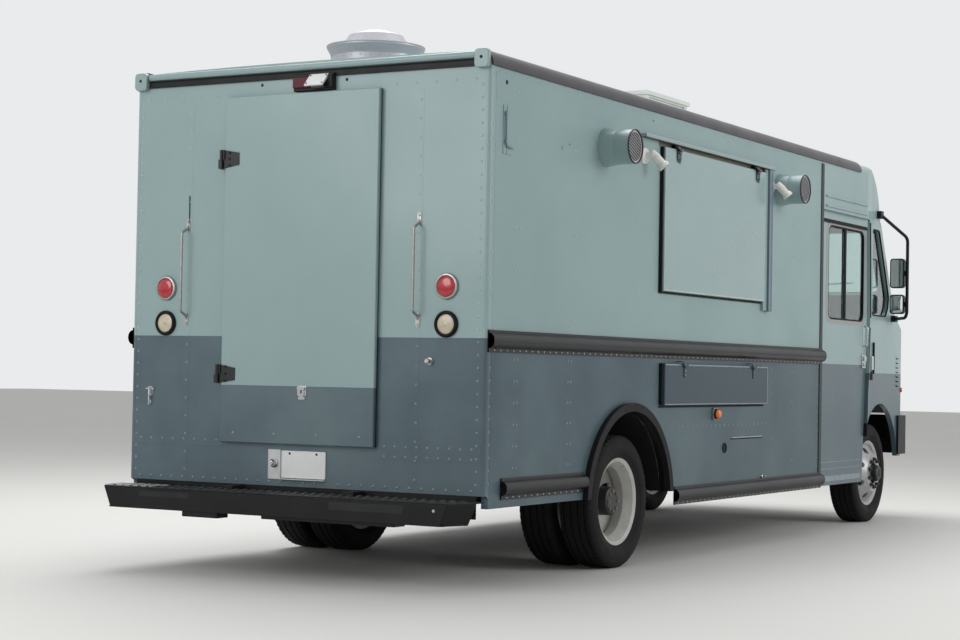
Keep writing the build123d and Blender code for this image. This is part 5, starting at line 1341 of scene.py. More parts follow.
@dataclass(frozen=True)
class ServingSide:
    """Hatch, shelf, pods, lamps and small fittings of the right wall.

    Attributes:
        hatch_run: Rear and front edge of the hatch, by distance.
        hatch_z: Its lower and upper edge.
        shelf_run: Rear and front edge of the folded shelf.
        shelf_z: Its lower and upper edge.
        pod_places: Distance of each vent pod.
        pod_z: Height of the pods' axis.
        slat_ring: Radius of the ring that holds a pod's slats.
        slat_pitch: Distance between its slats.
        lamp_places: Distance of each spot lamp.
        inlet: Distance and height of the power inlet.
    """

    hatch_run: Pair = (2.14, 3.8)
    hatch_z: Pair = (1.67, 2.56)
    shelf_run: Pair = (2.17, 3.88)
    shelf_z: Pair = (0.966, 1.226)
    pod_places: Pair = (1.37, 4.15)
    pod_z: float = 2.47
    slat_ring: float = 0.0915
    slat_pitch: float = 0.0168
    lamp_places: Pair = (1.906, 3.985)
    inlet: Pair = (3.209, 0.68)

    def build(self) -> None:
        """Build each fitting."""
        self.hatch()
        self.shelf()
        self.drip_strip()
        for number, distance in enumerate(self.pod_places):
            self.pod(number, (station(distance), -HALF_WIDTH, self.pod_z))
        for number, distance in enumerate(self.lamp_places):
            self.spot_lamp(number, distance)
        self.marker()
        self.small_fittings()
        self.hold_back()

    def hatch(self) -> None:
        """Add black strips of painted shadow in the gap round and behind the hatch, its bright edges and its
        hinge straps.
        """
        (rear, front), (low, high) = self.hatch_run, self.hatch_z
        seal, lip, straps, bolts, plates = (Shape() for _ in range(5))
        # Black strips at the hatch's rear and lower edges and behind it: painted shadow in its gap
        seal.side_box((rear - 0.014, rear - 0.002), (0, 0.022), (low - 0.004, high))
        seal.side_box((rear - 0.014, front + 0.006), (0, 0.012), (low - 0.014, low - 0.003))
        for start in (rear + 0.05, front - 0.062):
            seal.side_box((start, start + 0.012), (0, 0.005), (low + 0.02, high - 0.03))
        seal.piece("hatch_gap_shade", Palette.SEAL_RUBBER, bevel=0.002)
        lip.side_box((rear + 0.004, front - 0.004), (0.028, 0.0332), (low + 0.003, low + 0.011))
        for start in (rear + 0.003, front - 0.009):
            lip.side_box((start, start + 0.006), (0.028, 0.033), (low + 0.011, high - 0.006))
        lip.piece("hatch_edge_angle", Palette.WORN_ENAMEL, "serving_hatch", bevel=0.001)
        for distance in (rear + 0.192, front - 0.153):
            place = on_side(Side.RIGHT, distance, 2.512, 0.0372)
            straps.plate((0.06, 0.08, 0.026), moved(place, 0, 0.008), 0.0022)
            spots = ((0, -0.016), (-0.016, 0.022), (0.016, 0.022))
            bolts.copies(hex_head(0.0055, 0.004), [moved(place, u, v, 0.0022) for u, v in spots])
            plates.plate((0.08, 0.026, 0.004), on_side(Side.RIGHT, distance, 2.5745), 0.03)
        straps.piece("hatch_hinge_straps", Palette.SLATE_ENAMEL, "serving_hatch", bevel=0.0008)
        bolts.piece("hatch_hinge_bolts", Palette.BLACK_PLASTIC, "serving_hatch")
        plates.piece("hatch_hinge_wall_plates", Palette.UNDERCOAT, bevel=0.0008)

    def shelf(self) -> None:
        """Add the folded shelf's bright lips, black strips of painted shadow in the gap round it, and the
        strap bolts.
        """
        (rear, front), (low, high) = self.shelf_run, self.shelf_z
        lips, seal, bolts = Shape(), Shape(), Shape()
        lips.side_box((rear + 0.004, front - 0.004), (0.03, 0.0372), (high - 0.012, high - 0.0035))
        lips.side_box((front - 0.012, front - 0.0035), (0.03, 0.037), (low + 0.004, high - 0.012))
        lips.side_box((rear + 0.004, front - 0.012), (0.03, 0.0368), (low + 0.0035, low + 0.01))
        lips.piece("shelf_edge_angle", Palette.WORN_SLATE, "serving_shelf", bevel=0.001)
        # Black strips at the shelf's rear and lower edges: painted shadow in its gap
        seal.side_box((rear - 0.014, rear - 0.002), (0, 0.02), (low + 0.004, high))
        seal.side_box((rear - 0.014, front), (0, 0.008), (low - 0.014, low - 0.004))
        seal.piece("shelf_gap_shade", Palette.SEAL_RUBBER, bevel=0.002)
        for distance in (rear + 0.2955, front - 0.2645):
            heights = (1.156, 1.182, 1.206)
            bolts.copies(hex_head(0.005, 0.003), [on_side(Side.RIGHT, distance, z, 0.041) for z in heights])
        bolts.piece("shelf_strap_bolts", Palette.ZINC_PLATE, "serving_shelf")

    def drip_strip(self) -> None:
        """Add the bright bead along the drip strip, and the folds and filler of the post beside the hatch."""
        bead = Shape().side_box((1.852, 3.968), (0.03, 0.0362), (2.6045, 2.6103))
        bead.piece("drip_strip_bead", Palette.MILL_ALUMINIUM, bevel=0.001)
        folds = Shape()
        for size, distance in (((0.014, 0.972, 0.005), 3.8825), ((0.006, 0.972, 0.002), 3.931)):
            folds.plate(size, on_side(Side.RIGHT, distance, 2.094, 0.033), 0.003)
        folds.piece("hatch_post_folds", Palette.POST_ENAMEL, bevel=0.0008)
        filler = Shape().side_box((3.812, 3.874), (0, 0.02), (1.61, 2.586))
        filler.piece("hatch_post_filler", Palette.WALL_ENAMEL, bevel=0.001)

    def pod(self, number: int, origin: Point) -> None:
        """Turn a vent pod: tapered foot, drum, dark mouth ring and back, and slanted silver slats.

        Args:
            number: Its number, 0 for the rear one.
            origin: Where its axis leaves the wall.
        """
        body = [(0, 0.113), (0.006, 0.113), (0.022, 0.111), (0.06, 0.105), (0.086, 0.1005), (0.088, 0.0985)]
        body += [(0.092, 0.0985), (0.094, 0.1005), (0.186, 0.1005), (0.186, 0.094),
                 (0.168, 0.093), (0.168, 0)]
        mouth = [(0.185, 0.1012), (0.193, 0.1008), (0.1948, 0.098), (0.1935, 0.0935), (0.182, 0.0925),
                 (0.176, 0.0925)]
        stands_for = () if number else ("vent_pods",)
        turned(f"pod_drum_{number}", Palette.MINT_ENAMEL, body, origin, AWAY, 64, stands_for=stands_for)
        turned(f"pod_mouth_ring_{number}", Palette.BLEACHED_VINYL, mouth, origin, AWAY, 64)
        back = [(0.166, 0.093), (0.1705, 0.093), (0.1705, 0)]
        turned(f"pod_dark_back_{number}", Palette.UNDERCOAT, back, origin, AWAY, 48)
        face = moved(facing(origin, AWAY), z=0.176) @ Matrix.Rotation(radians(-24), 4, "Z")
        blades = Shape()
        for step in range(-5, 6):
            across = step * self.slat_pitch
            half = sqrt(self.slat_ring**2 - across**2)
            ends = ((-half, -0.0052, 0), (half, -0.0052, 0), (half, 0.003, 0.009), (-half, 0.003, 0.009))
            blade = [Vector((u, across + v, w)) for u, v, w in ends]
            blades.loft([[face @ p for p in blade],
                         [face @ (p + Vector((0, 0.0018, 0.0006))) for p in blade]])
        radii = (self.slat_ring * 1.01, self.slat_ring * 0.93)
        outer, inner = ([(r * cos(a), r * sin(a)) for a in around(48)] for r in radii)
        blades.copies(ring(outer, inner, Matrix.Identity(4), 0.006, 0.01), [face])
        blades.piece(f"pod_slats_{number}", Palette.SLAT_SILVER)

    def spot_lamp(self, number: int, distance: float) -> None:
        """Add a spot lamp's glass, band, thumbscrew and the lid of its box.

        Args:
            number: Its number, 0 for the rear one.
            distance: Its distance.
        """
        aim = (0.3, -0.6, -0.74)
        origin = (station(distance + 0.012), -HALF_WIDTH - 0.056, 2.48)
        lens = [(0.088, 0.0305), (0.0895, 0.02), (0.088, 0)]
        turned(f"spot_lamp_lens_{number}", Palette.CLEAR_LENS, lens, origin, aim, 32)
        band = [(0.014, 0.0285), (0.0165, 0.03), (0.021, 0.03), (0.0235, 0.0288)]
        turned(f"spot_lamp_band_{number}", Palette.WHITE_PLASTIC, band, origin, aim, 32)
        screw = [(0.018, 0.0065), (0.036, 0.0065), (0.038, 0.004)]
        above = (origin[0], origin[1], origin[2] + 0.006)
        turned(f"spot_lamp_thumbscrew_{number}", Palette.WHITE_PLASTIC, screw, above, AHEAD, 12)
        lid = Shape().plate((0.066, 0.094, 0.008), on_side(Side.RIGHT, distance - 0.012, 2.476), 0.007)
        lid.piece(f"spot_lamp_box_lid_{number}", Palette.WHITE_PLASTIC, bevel=0.002)

    def marker(self) -> None:
        """Add the amber side marker: grey base, black ring and domed lens."""
        place = on_side(Side.RIGHT, 3.025, 0.906)
        Shape().plate((0.07, 0.078, 0.01), place, 0.016).piece("marker_base", Palette.ZINC_PLATE, bevel=0.002)
        origin = place @ Vector((0, 0, 0.016))
        rubber = [(0, 0.035), (0.01, 0.034), (0.012, 0.031)]
        turned("marker_ring", Palette.SEAL_RUBBER, rubber, origin, AWAY, 32)
        dome = [(0.01, 0.031), (0.016, 0.03), (0.026, 0.026), (0.033, 0.018), (0.036, 0.008), (0.0365, 0)]
        turned("marker_lens", Palette.AMBER_LENS, dome, origin, AWAY, 32)

    def small_fittings(self) -> None:
        """Add the inlet's bushing and dark back, the heater slot's lip and shadow, and the drain fitting."""
        x, z = station(self.inlet[0]), self.inlet[1]
        bushing = [(0, 0.034), (0.004, 0.034), (0.006, 0.031), (0.004, 0.0275), (-0.01, 0.0275)]
        turned("inlet_bushing", Palette.UNDERCOAT, bushing, (x, -HALF_WIDTH, z), AWAY, 32)
        back = [(-0.03, 0.0275), (-0.029, 0.0275)]
        turned("inlet_dark_back", Palette.DARK_INSIDE, back, (x, -HALF_WIDTH, z), AWAY, 24)
        slot = Shape()
        for start, end in ((3.326, 3.585), (3.592, 3.862)):
            outline = [(0, 0), (end - start, 0), (end - start, 0.007), (0, 0.005)]
            slot.prism(outline, on_side(Side.RIGHT, start, 0.743), 0.005)
        slot.piece("heater_slot_lip", Palette.MILL_ALUMINIUM, bevel=0.001)
        shadow = Shape().side_box((3.314, 3.874), (0, 0.002), (0.733, 0.739))
        shadow.piece("heater_slot_shadow", Palette.SEAL_RUBBER)
        drain = [(0, 0.014), (0.01, 0.013), (0.014, 0.008), (0.03, 0.006)]
        turned("drain_fitting", Palette.CHROME, drain, (station(3.873), -HALF_WIDTH, 0.468), (0, -1, 0.2), 16)

    def hold_back(self) -> None:
        """Add the L-shaped rod on its plate that holds the open rear door, and the slit beside it."""
        plate = Shape().plate((0.101, 0.262, 0.006), on_side(Side.RIGHT, 0.1845, 2.437), 0.004)
        plate.side_box((0.1685, 0.1745), (0.003, 0.007), (2.306, 2.568))
        plate.piece("hold_back_plate", Palette.WALL_ENAMEL, bevel=0.001)
        bends = [(station(x), -HALF_WIDTH - 0.013, z)
                 for x, z in ((0.15, 2.535), (0.152, 2.35), (0.222, 2.342))]
        rod = Shape().tube(rounded_path(bends, 0.016), 0.0055, 12)
        for x, z in ((0.151, 2.52), (0.152, 2.372)):
            rod.plate((0.022, 0.014, 0.003), on_side(Side.RIGHT, x, z), 0.018)
        rod.piece("hold_back_rod", Palette.POST_ENAMEL, bevel=0.0008)
        slit = Shape().plate((0.005, 0.026, 0.002), on_side(Side.RIGHT, 0.814, 2.411), 0.0006)
        slit.piece("wall_slit", Palette.DARK_INSIDE)


@dataclass(frozen=True)
class RubRails:
    """Screws and end caps of the vinyl rub rails, and the rolled lips of the wheel-arch flares.

    Attributes:
        rails: Start, end, lowest and highest z of each rail.
        pitch: Spacing of the screws.
        arch: Distance of the arch's middle from the rear axle, and its height.
        lip_radii: Radius of the outer and the inner lip.
    """

    rails: tuple[tuple[float, ...], ...] = (
        (0.01, 5.04, 1.256, 1.372),
        (0.17, 1.14, 0.478, 0.59),
        (2.4, 5.04, 0.344, 0.456),
    )
    pitch: float = 0.07
    arch: Pair = (0.025, 0.385)
    lip_radii: Pair = (0.5965, 0.55)

    def build(self) -> None:
        """Screw the flanges down, cap the ends and roll the flares' lips."""
        for side in Side:
            screws, caps, lips = Shape(), Shape(), Shape()
            for start, end, low, high in self.rails:
                spots = steps_between(start + 0.06, end - 0.08, self.pitch)
                screws.copies(rivet(0.0055, 0.003), [on_side(side, x, low + 0.01, 0.008) for x in spots])
                middle, half = (low + high + 0.006) / 2, (high - low - 0.032) / 2
                turns = [radians(t) for t in range(-90, 91, 15)]
                bulge = [(0.008 + 0.0345 * cos(a), middle + half * sin(a)) for a in turns]
                foot, head = low - 0.001, high + 0.001
                section = [(0, foot), (0.0085, foot), *bulge, (0.0085, head), (0, head)]
                for ends in ((start, start + 0.014), (end - 0.012, end)):
                    rings = [[on_side(side, x, z, min(out, 0.042)) for out, z in section] for x in ends]
                    caps.loft([[place.translation for place in row] for row in rings])
            screws.piece(f"rail_screws_{side.word}", Palette.ZINC_PLATE)
            caps.piece(f"rail_end_caps_{side.word}", Palette.RAIL_VINYL, bevel=0.0015)
            x, y = REAR_AXLE_X + self.arch[0], side.value * (HALF_WIDTH + 0.0305)
            turns = [radians(t) for t in steps_between(10, 170, 160 / 60)]
            for radius in self.lip_radii:
                lips.tube([(x + radius * cos(a), y, self.arch[1] + radius * sin(a)) for a in turns],
                          0.0032, 8)
            lips.piece(f"flare_lips_{side.word}", Palette.UNDERCOAT)


@dataclass(frozen=True)
class Wheels:
    """Tyres with grooved tread, and the studs, hubs and valves of the wheels.

    Attributes:
        front_track: Half the distance between the front tyres' middles.
        rear_outer: The same for the outer rear tyres.
        twin: Distance between twin tyres' middles.
        stud_ring: Radius of the ring of studs.
        studs: Number of studs.
        disc_offset: How far the disc's face is from the rim's middle.
        steps: Points round a tyre.
        notch_every: Every so many of them is a notch in the shoulder.
        wall: Half of a tyre's section from the bead to the shoulder: y from the middle, and radius.
        tread: The rest of it, with its grooves.
    """

    front_track: float = 0.95
    rear_outer: float = 1.036
    twin: float = 0.268
    stud_ring: float = 0.112
    studs: int = 10
    disc_offset: float = 0.134
    steps: int = 180
    notch_every: int = 3
    wall: tuple[Pair, ...] = (
        (0.079, 0.248), (0.086, 0.256), (0.0895, 0.266), (0.0915, 0.2675), (0.0945, 0.2755), (0.105, 0.295),
        (0.1068, 0.296), (0.1118, 0.315), (0.1125, 0.323), (0.1112, 0.338), (0.1098, 0.343), (0.1102, 0.3475),
        (0.1072, 0.362), (0.101, 0.379), (0.0955, 0.3868),
    )
    tread: tuple[Pair, ...] = (
        (0.0905, 0.3925), (0.07, 0.3942), (0.069, 0.386), (0.063, 0.386), (0.062, 0.3944),
        (0.027, 0.395), (0.026, 0.386), (0.019, 0.386), (0.018, 0.395),
    )

    def build(self) -> None:
        """Build the tyres and dress the wheels on both sides."""
        for side in Side:
            for word, kind, tyre, axle_x, tracks in (
                ("front", "wheel", "tyre", FRONT_AXLE_X, (self.front_track,)),
                ("rear", "wheels", "tyres", REAR_AXLE_X, (self.rear_outer, self.rear_outer - self.twin)),
            ):
                body = f"{word}_{kind}_{side.word}"
                rubber = Shape()
                for y in tracks:
                    self.add_tyre(rubber, (axle_x, side.value * y, HUB_Z))
                name, stands_for = f"{word}_tread_{side.word}", (f"{word}_{tyre}_{side.word}",)
                rubber.piece(name, Palette.TYRE_RUBBER, body, stands_for=stands_for, angle=24)
                stem = self.valve(side, tracks[0], axle_x)
                stem.piece(f"{word}_valve_{side.word}", Palette.ZINC_PLATE, body)
            self.front_face(side)
            self.rear_face(side)

    def add_tyre(self, rubber: Shape, centre: Point) -> None:
        """Add one tyre: beaded sides with rings, rounded shoulders with notches and four tread grooves.

        Args:
            rubber: The shape that takes it.
            centre: The tyre's middle.
        """
        half = self.wall + self.tread
        full = [*half, *((-y, r) for y, r in reversed(half))]
        shoulder = len(self.wall)
        notched = {shoulder - 2: 0.0045, shoulder - 1: 0.0075, shoulder: 0.0075}
        rings = []
        for index, (y, radius) in enumerate(full):
            depth = notched.get(min(index, len(full) - 1 - index), 0.0)
            radii = [radius - (0.0 if i % self.notch_every else depth) for i in range(self.steps)]
            turns = zip(around(self.steps), radii)
            rings.append([(centre[0] + r * cos(a), centre[1] + y, centre[2] + r * sin(a)) for a, r in turns])
        rubber.loft(rings, capped=False)

    def circle(self, centre: Point, radius: float, count: int, side: Side,
               start: float = 0.0) -> list[Matrix]:
        """Frames spaced evenly round a wheel's axis that face outwards.

        Args:
            centre: The circle's middle.
            radius: Its radius.
            count: Number of frames.
            side: The truck's side.
            start: Share of a step by which the first one is turned.

        Returns:
            The frames.
        """
        x, y, z = centre
        spots = [(x + radius * cos(a), y, z + radius * sin(a)) for a in around(count, start)]
        return [facing(spot, side.outward) for spot in spots]

    def stud(self, length: float) -> Shape:
        """One wheel stud with its nut, standing on the XY plane."""
        nut = [(0, 0.0185), (0.004, 0.0185), (0.0045, 0.015), (0.018, 0.015), (0.02, 0.013)]
        end = [(0.016, 0.0085), (length - 0.002, 0.0085), (length, 0.007)]
        return Shape().lathe(nut, (0, 0, 0), UP, 6).lathe(end, (0, 0, 0), UP, 10)

    def front_face(self, side: Side) -> None:
        """Dress the front wheel: studs, dark hub cap with its bolts and a raised ring round the disc."""
        body = f"front_wheel_{side.word}"
        y = self.front_track + self.disc_offset
        centre = (FRONT_AXLE_X, side.value * y, HUB_Z)
        studs = Shape().copies(self.stud(0.03), self.circle(centre, self.stud_ring, self.studs, side, 0.5))
        studs.piece(f"front_studs_{side.word}", Palette.DARK_STUD, body)
        cap = [(0.02, 0.0675), (0.03, 0.067), (0.034, 0.06), (0.044, 0.056), (0.0505, 0.048)]
        cap += [(0.0525, 0.03), (0.0525, 0)]
        turned(f"front_hub_cap_{side.word}", Palette.CHASSIS_ENAMEL, cap, centre, side.outward, 40, body)
        face = (FRONT_AXLE_X, side.value * (y + 0.046), HUB_Z)
        bolts = Shape().copies(hex_head(0.006, 0.005), self.circle(face, 0.044, 6, side))
        bolts.piece(f"front_hub_bolts_{side.word}", Palette.DARK_STUD, body)
        seat = [(0.0002, 0.15), (0.0022, 0.148), (0.0022, 0.086), (0.0002, 0.084)]
        turned(f"front_stud_ring_{side.word}", Palette.SILVER_ENAMEL, seat, centre, side.outward, 64, body)

    def rear_face(self, side: Side) -> None:
        """Dress the rear wheels: studs on the dished disc and the hub flange's bolts."""
        for name, part, out, radius, count, start in (
            ("rear_studs", self.stud(0.04), 0.012 - self.disc_offset, self.stud_ring, self.studs, 0.5),
            ("rear_hub_bolts", hex_head(0.0085, 0.007), 0.06, 0.06, 8, 0.0),
        ):
            centre = (REAR_AXLE_X, side.value * (self.rear_outer + out), HUB_Z)
            made = Shape().copies(part, self.circle(centre, radius, count, side, start))
            made.piece(f"{name}_{side.word}", Palette.RUSTY_STEEL, f"rear_wheels_{side.word}")

    def valve(self, side: Side, track: float, axle_x: float) -> Shape:
        """Bend a valve stem out of the rim."""
        bends = ((0.1, 0.02, 0.196), (0.104, 0.052, 0.2), (0.11, 0.08, 0.212))
        path = [(axle_x + x, side.value * (track + y), HUB_Z + z) for x, y, z in bends]
        return Shape().tube(rounded_path(path, 0.01, 4), 0.0042, 10)


@dataclass(frozen=True)
class Cab:
    """Window frames, seals, latches, glass trim, mirrors, lamps and grille of the cab.

    Attributes:
        half: Half the cab's width beside the doors.
        nose_half: Half its width at the nose.
        fender_run: Distances between which the fender tapers.
        door_y: Distance of a door's outer face from the middle.
        window_run: Rear and front edge of a door window.
        window_z: Its lower and upper edge.
        bar_at: Distance of the bar between a door's panes.
        screen_foot: Distance and height of the windscreen's lower edge.
        screen_top: The same for its upper edge.
        pane: Widths of a pane and of the post between both, and what a pane lacks of the full height.
        nose: Distance of the nose's face.
        grille_z: Lower and upper edge of the grille's opening.
    """

    half: float = 1.155
    nose_half: float = 1.1
    fender_run: Pair = (6.215, 7.18)
    door_y: float = 1.134
    window_run: Pair = (5.29, 6.11)
    window_z: Pair = (1.6, 2.315)
    bar_at: float = 5.677
    screen_foot: Pair = (6.87, 1.81)
    screen_top: Pair = (6.5, 2.412)
    pane: Point = (1.02, 0.022, 0.132)
    nose: float = 7.3
    grille_z: Pair = (0.96, 1.33)

    def build(self) -> None:
        """Build both sides, then the front."""
        for side in Side:
            self.door_window(side)
            self.door_seals(side)
            self.latch(side)
            self.quarter_trim(side)
            self.louvre(side)
            self.front_lamps(side)
            self.mirror_glass(side)
            self.screen_trim(side)
            self.wiper(side)
        self.grille()
        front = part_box("front_bumper")[1].x - 0.009
        places = [facing((front, y, z), AHEAD) for y in (-0.42, -0.36, 0.36, 0.42) for z in (0.62, 0.78)]
        Shape().copies(hex_head(0.013, 0.009), places).piece("bumper_bolts", Palette.ZINC_PLATE)

    @property
    def slope(self) -> float:
        """Change of a fender's half width per metre forward."""
        return (self.nose_half - self.half) / (self.fender_run[1] - self.fender_run[0])

    @property
    def sheet(self) -> float:
        """How far a door's face stands out from the body's side, as a negative number."""
        return self.door_y - HALF_WIDTH

    def fender_frame(self, side: Side, distance: float, z: float) -> Matrix:
        """Frame on the tapering fender, facing outwards; on the right side its X is forward."""
        y = self.half + self.slope * (distance - self.fender_run[0])
        return facing((station(distance), side.value * y, z), (-self.slope, side.value, 0))

    def door_window(self, side: Side) -> None:
        """Frame a door's window, seal its panes and bar, and rivet and trim the door."""
        body = f"cab_door_{side.word}"
        (rear, front), (low, high) = self.window_run, self.window_z
        width, height, sheet = front - rear, high - low, self.sheet
        place = on_side(side, (rear + front) / 2, (low + high) / 2, sheet)
        inner = rounded_rectangle(width, height, 0.07, 8)
        rim = ring(rounded_rectangle(width + 0.084, height + 0.066, 0.106, 8), inner, place, -0.001, 0.0014)
        rim.piece(f"door_window_frame_{side.word}", Palette.WORN_ALUMINIUM, body)
        outer = rounded_rectangle(width - 0.0005, height - 0.0005, 0.0697, 8)
        gasket = ring(outer, rounded_rectangle(width - 0.026, height - 0.026, 0.057, 8), place,
                      -0.0125, 0.0006)
        bar = (self.bar_at - 0.0165, self.bar_at + 0.0165)
        gasket.side_box(bar, (sheet - 0.0125, sheet + 0.0012), (low, high), side)
        gasket.piece(f"door_window_gasket_{side.word}", Palette.SEAL_RUBBER, body, bevel=0.0012)
        rail = (self.bar_at + 0.01, self.bar_at + 0.017)
        lip = Shape().side_box(rail, (sheet + 0.0001, sheet + 0.001), (low + 0.013, high - 0.013), side)
        lip.piece(f"door_pane_rail_{side.word}", Palette.MILL_ALUMINIUM, body)
        trim = Shape()
        for z, half in ((0.395, 0.02), (0.47, 0.0022), (0.52, 0.0022)):
            trim.side_box((5.025, 6.07), (sheet, sheet + 0.0014), (z - half, z + half), side)
        trim.piece(f"door_foot_trim_{side.word}", Palette.WORN_SLATE, body, bevel=0.0005)
        places = [on_side(side, x, z, sheet) for x in (5.05, 6.09) for z in steps_between(0.56, 1.54, 0.14)]
        heads = Shape().copies(rivet(0.0045, 0.0012), places)
        heads.piece(f"door_rivets_{side.word}", Palette.CAB_ENAMEL, body)

    def door_seals(self, side: Side) -> None:
        """Seal the head and the front edge of a door's opening."""
        reach = (self.sheet + 0.0065, self.sheet + 0.0122)
        head = Shape().side_box((5.06, 6.15), reach, (2.328, 2.354), side)
        head.piece(f"door_header_seal_{side.word}", Palette.SEAL_RUBBER, bevel=0.001)
        guide = Shape()
        near, far = self.sheet - 0.016, self.sheet + 0.0265
        for start, end, width in ((1.64, 2.39, 0.014), (0.7, 1.56, 0.006)):
            rings = []
            for z in (start, end):
                x = self.door_edge(z) + 0.011
                corners = ((x, near), (x + width, near), (x + width, far), (x, far))
                rings.append([on_side(side, u, z, out).translation for u, out in corners])
            guide.loft(rings)
        guide.piece(f"door_front_seal_{side.word}", Palette.SEAL_RUBBER, bevel=0.002)

    def door_edge(self, z: float) -> float:
        """Distance of the door's front edge at a height."""
        front, knee, low, high = 6.205, 1.62, 0.345, 2.404
        return front - (0.033 * (z - knee) / (high - knee) if z > knee else 0.09 * (knee - z) / (knee - low))

    def latch(self, side: Side) -> None:
        """Add the pull handle and lock on the door, and the striker on the fender."""
        base, lock = on_side(side, 6.12, 1.49, self.sheet), on_side(side, 6.108, 1.29, self.sheet)
        bends = ((0, -0.08, 0), (0, -0.075, 0.03), (0, 0.07, 0.034), (0, 0.08, 0))
        door = Shape().tube(rounded_path([base @ Vector(bend) for bend in bends], 0.016), 0.0075, 12)
        door.plate((0.03, 0.196, 0.012), base, 0.004)
        door.plate((0.08, 0.105, 0.008), lock, 0.012)
        door.plate((0.05, 0.04, 0.006), moved(lock, 0, 0.022, 0.012), 0.012)
        barrel = [(0, 0.014), (0.006, 0.014), (0.008, 0.01)]
        door.lathe(barrel, lock @ Vector((0, -0.026, 0.012)), side.outward, 20)
        door.piece(f"door_latch_{side.word}", Palette.CHROME, f"cab_door_{side.word}", bevel=0.0015)
        plate = self.fender_frame(side, 6.262, 1.33)
        striker = Shape().plate((0.056, 0.11, 0.008), moved(plate, 0, -0.05), 0.014)
        striker.piece(f"striker_plate_{side.word}", Palette.CHROME, bevel=0.002)
        guard = Shape().plate((0.016, 0.25, 0.006), moved(plate, -side.value * 0.04, -0.01), 0.016)
        guard.plate((0.04, 0.07, 0.006), moved(plate, 0, -0.15), 0.01)
        guard.piece(f"striker_guard_{side.word}", Palette.BLACK_PLASTIC, bevel=0.002)

    def quarter_trim(self, side: Side) -> None:
        """Run a rubber gasket round the quarter window."""
        stretch = sqrt(1 + self.slope**2)
        path = []
        for u, z in ((0.06, 1.662), (0.06, 2.345), (0.236, 2.345), (0.548, 1.82), (0.52, 1.73),
                     (0.45, 1.662)):
            y = self.half + self.slope * u / stretch + 0.0005
            path.append((station(self.fender_run[0] + u / stretch), side.value * y, z))
        loop = rounded_path(path + path[:2], 0.03)[1:-1]
        Shape().tube(loop, 0.0062, 10).piece(f"quarter_gasket_{side.word}", Palette.SEAL_RUBBER)

    def louvre(self, side: Side) -> None:
        """Press a hood over each louvre slot in the fender."""
        hoods = Shape()
        for step in range(7):
            place = self.fender_frame(side, 7.06, 1.102 + 0.038 * step)
            rings = []
            for u, reach in ((-0.044, 0.001), (-0.036, 0.009), (0.036, 0.009), (0.044, 0.001)):
                arc = [(u, 0.011 * cos(radians(t)) - 0.001, reach * sin(radians(t))) for t in (0, 30, 60, 90)]
                rings.append([place @ Vector(p) for p in (*arc, (u, -0.001, 0))])
            hoods.loft(rings)
        hoods.piece(f"louvre_hoods_{side.word}", Palette.FENDER_ENAMEL)

    def front_lamps(self, side: Side) -> None:
        """Add headlamp bowl, glass and bezel, the turn signal over it and the corner marker."""
        bowl = [(0.062, 0.0955), (0.052, 0.088), (0.03, 0.072), (0.014, 0.048), (0.006, 0.02), (0.004, 0)]
        glass = [(0.058, 0.0945), (0.063, 0.094), (0.0685, 0.072), (0.0715, 0.04), (0.0725, 0)]
        bezel = [(0.054, 0.095), (0.06, 0.108), (0.064, 0.106), (0.0705, 0.0985), (0.069, 0.094),
                 (0.058, 0.0935)]
        centre = (station(self.nose - 0.06), side.value * 0.85, 1.13)
        stands_for = ("head_lamps",) if side is Side.LEFT else ()
        turned(f"headlamp_bowl_{side.word}", Palette.CHROME, bowl, centre, AHEAD, 48, stands_for=stands_for)
        turned(f"headlamp_glass_{side.word}", Palette.CLEAR_LENS, glass, centre, AHEAD, 48)
        turned(f"headlamp_bezel_{side.word}", Palette.CHROME, bezel, centre, AHEAD, 64)
        signal = facing((station(self.nose), side.value * 0.852, 1.3), AHEAD)
        corner = facing((station(7.205), side.value * 1.0865, 1.067), (0.3, side.value, 0))
        for name, place, size, lens, depth in (
            ("turn_signal", signal, (0.12, 0.052, 0.01), (0.108, 0.042, 0.008), (0.008, 0.006, 0.01, 0.004)),
            ("corner_marker", corner, (0.062, 0.048, 0.012), (0.054, 0.04, 0.01),
             (0.006, 0.005, 0.014, 0.006)),
        ):
            base = Shape().plate(size, place, depth[0])
            base.piece(f"{name}_base_{side.word}", Palette.BLACK_PLASTIC, bevel=0.002)
            cover = Shape().plate(lens, moved(place, z=depth[1]), depth[2])
            cover.piece(f"{name}_lens_{side.word}", Palette.AMBER_LENS, bevel=depth[3])

    def mirror_glass(self, side: Side) -> None:
        """Silver the flat and the convex glass of each mirror."""
        x, y = station(6.6668), side.value * 1.2235
        flat = Shape().plate((0.1, 0.222, 0.018), facing((x, y, 2.015), BACK), 0.0012)
        flat.piece(f"mirror_glass_{side.word}", Palette.MIRROR_SILVER)
        place = facing((x, y, 1.7635), BACK)
        edge = rounded_rectangle(0.1, 0.14, 0.018)
        dome = ((1, 0), (0.94, 0.0024), (0.7, 0.0052), (0.4, 0.007), (0.1, 0.0076))
        rings = [[place @ Vector((u * share, v * share, out)) for u, v in edge] for share, out in dome]
        Shape().loft(rings).piece(f"convex_mirror_{side.word}", Palette.MIRROR_SILVER, angle=60)

    def screen_frame(self) -> Matrix:
        """Frame in the windscreen's plane about its middle, facing out, with its Y up the glass."""
        bottom, top = (Vector((station(x), 0, z)) for x, z in (self.screen_foot, self.screen_top))
        return facing((bottom + top) / 2, Vector((0, 1, 0)).cross(top - bottom), top - bottom)

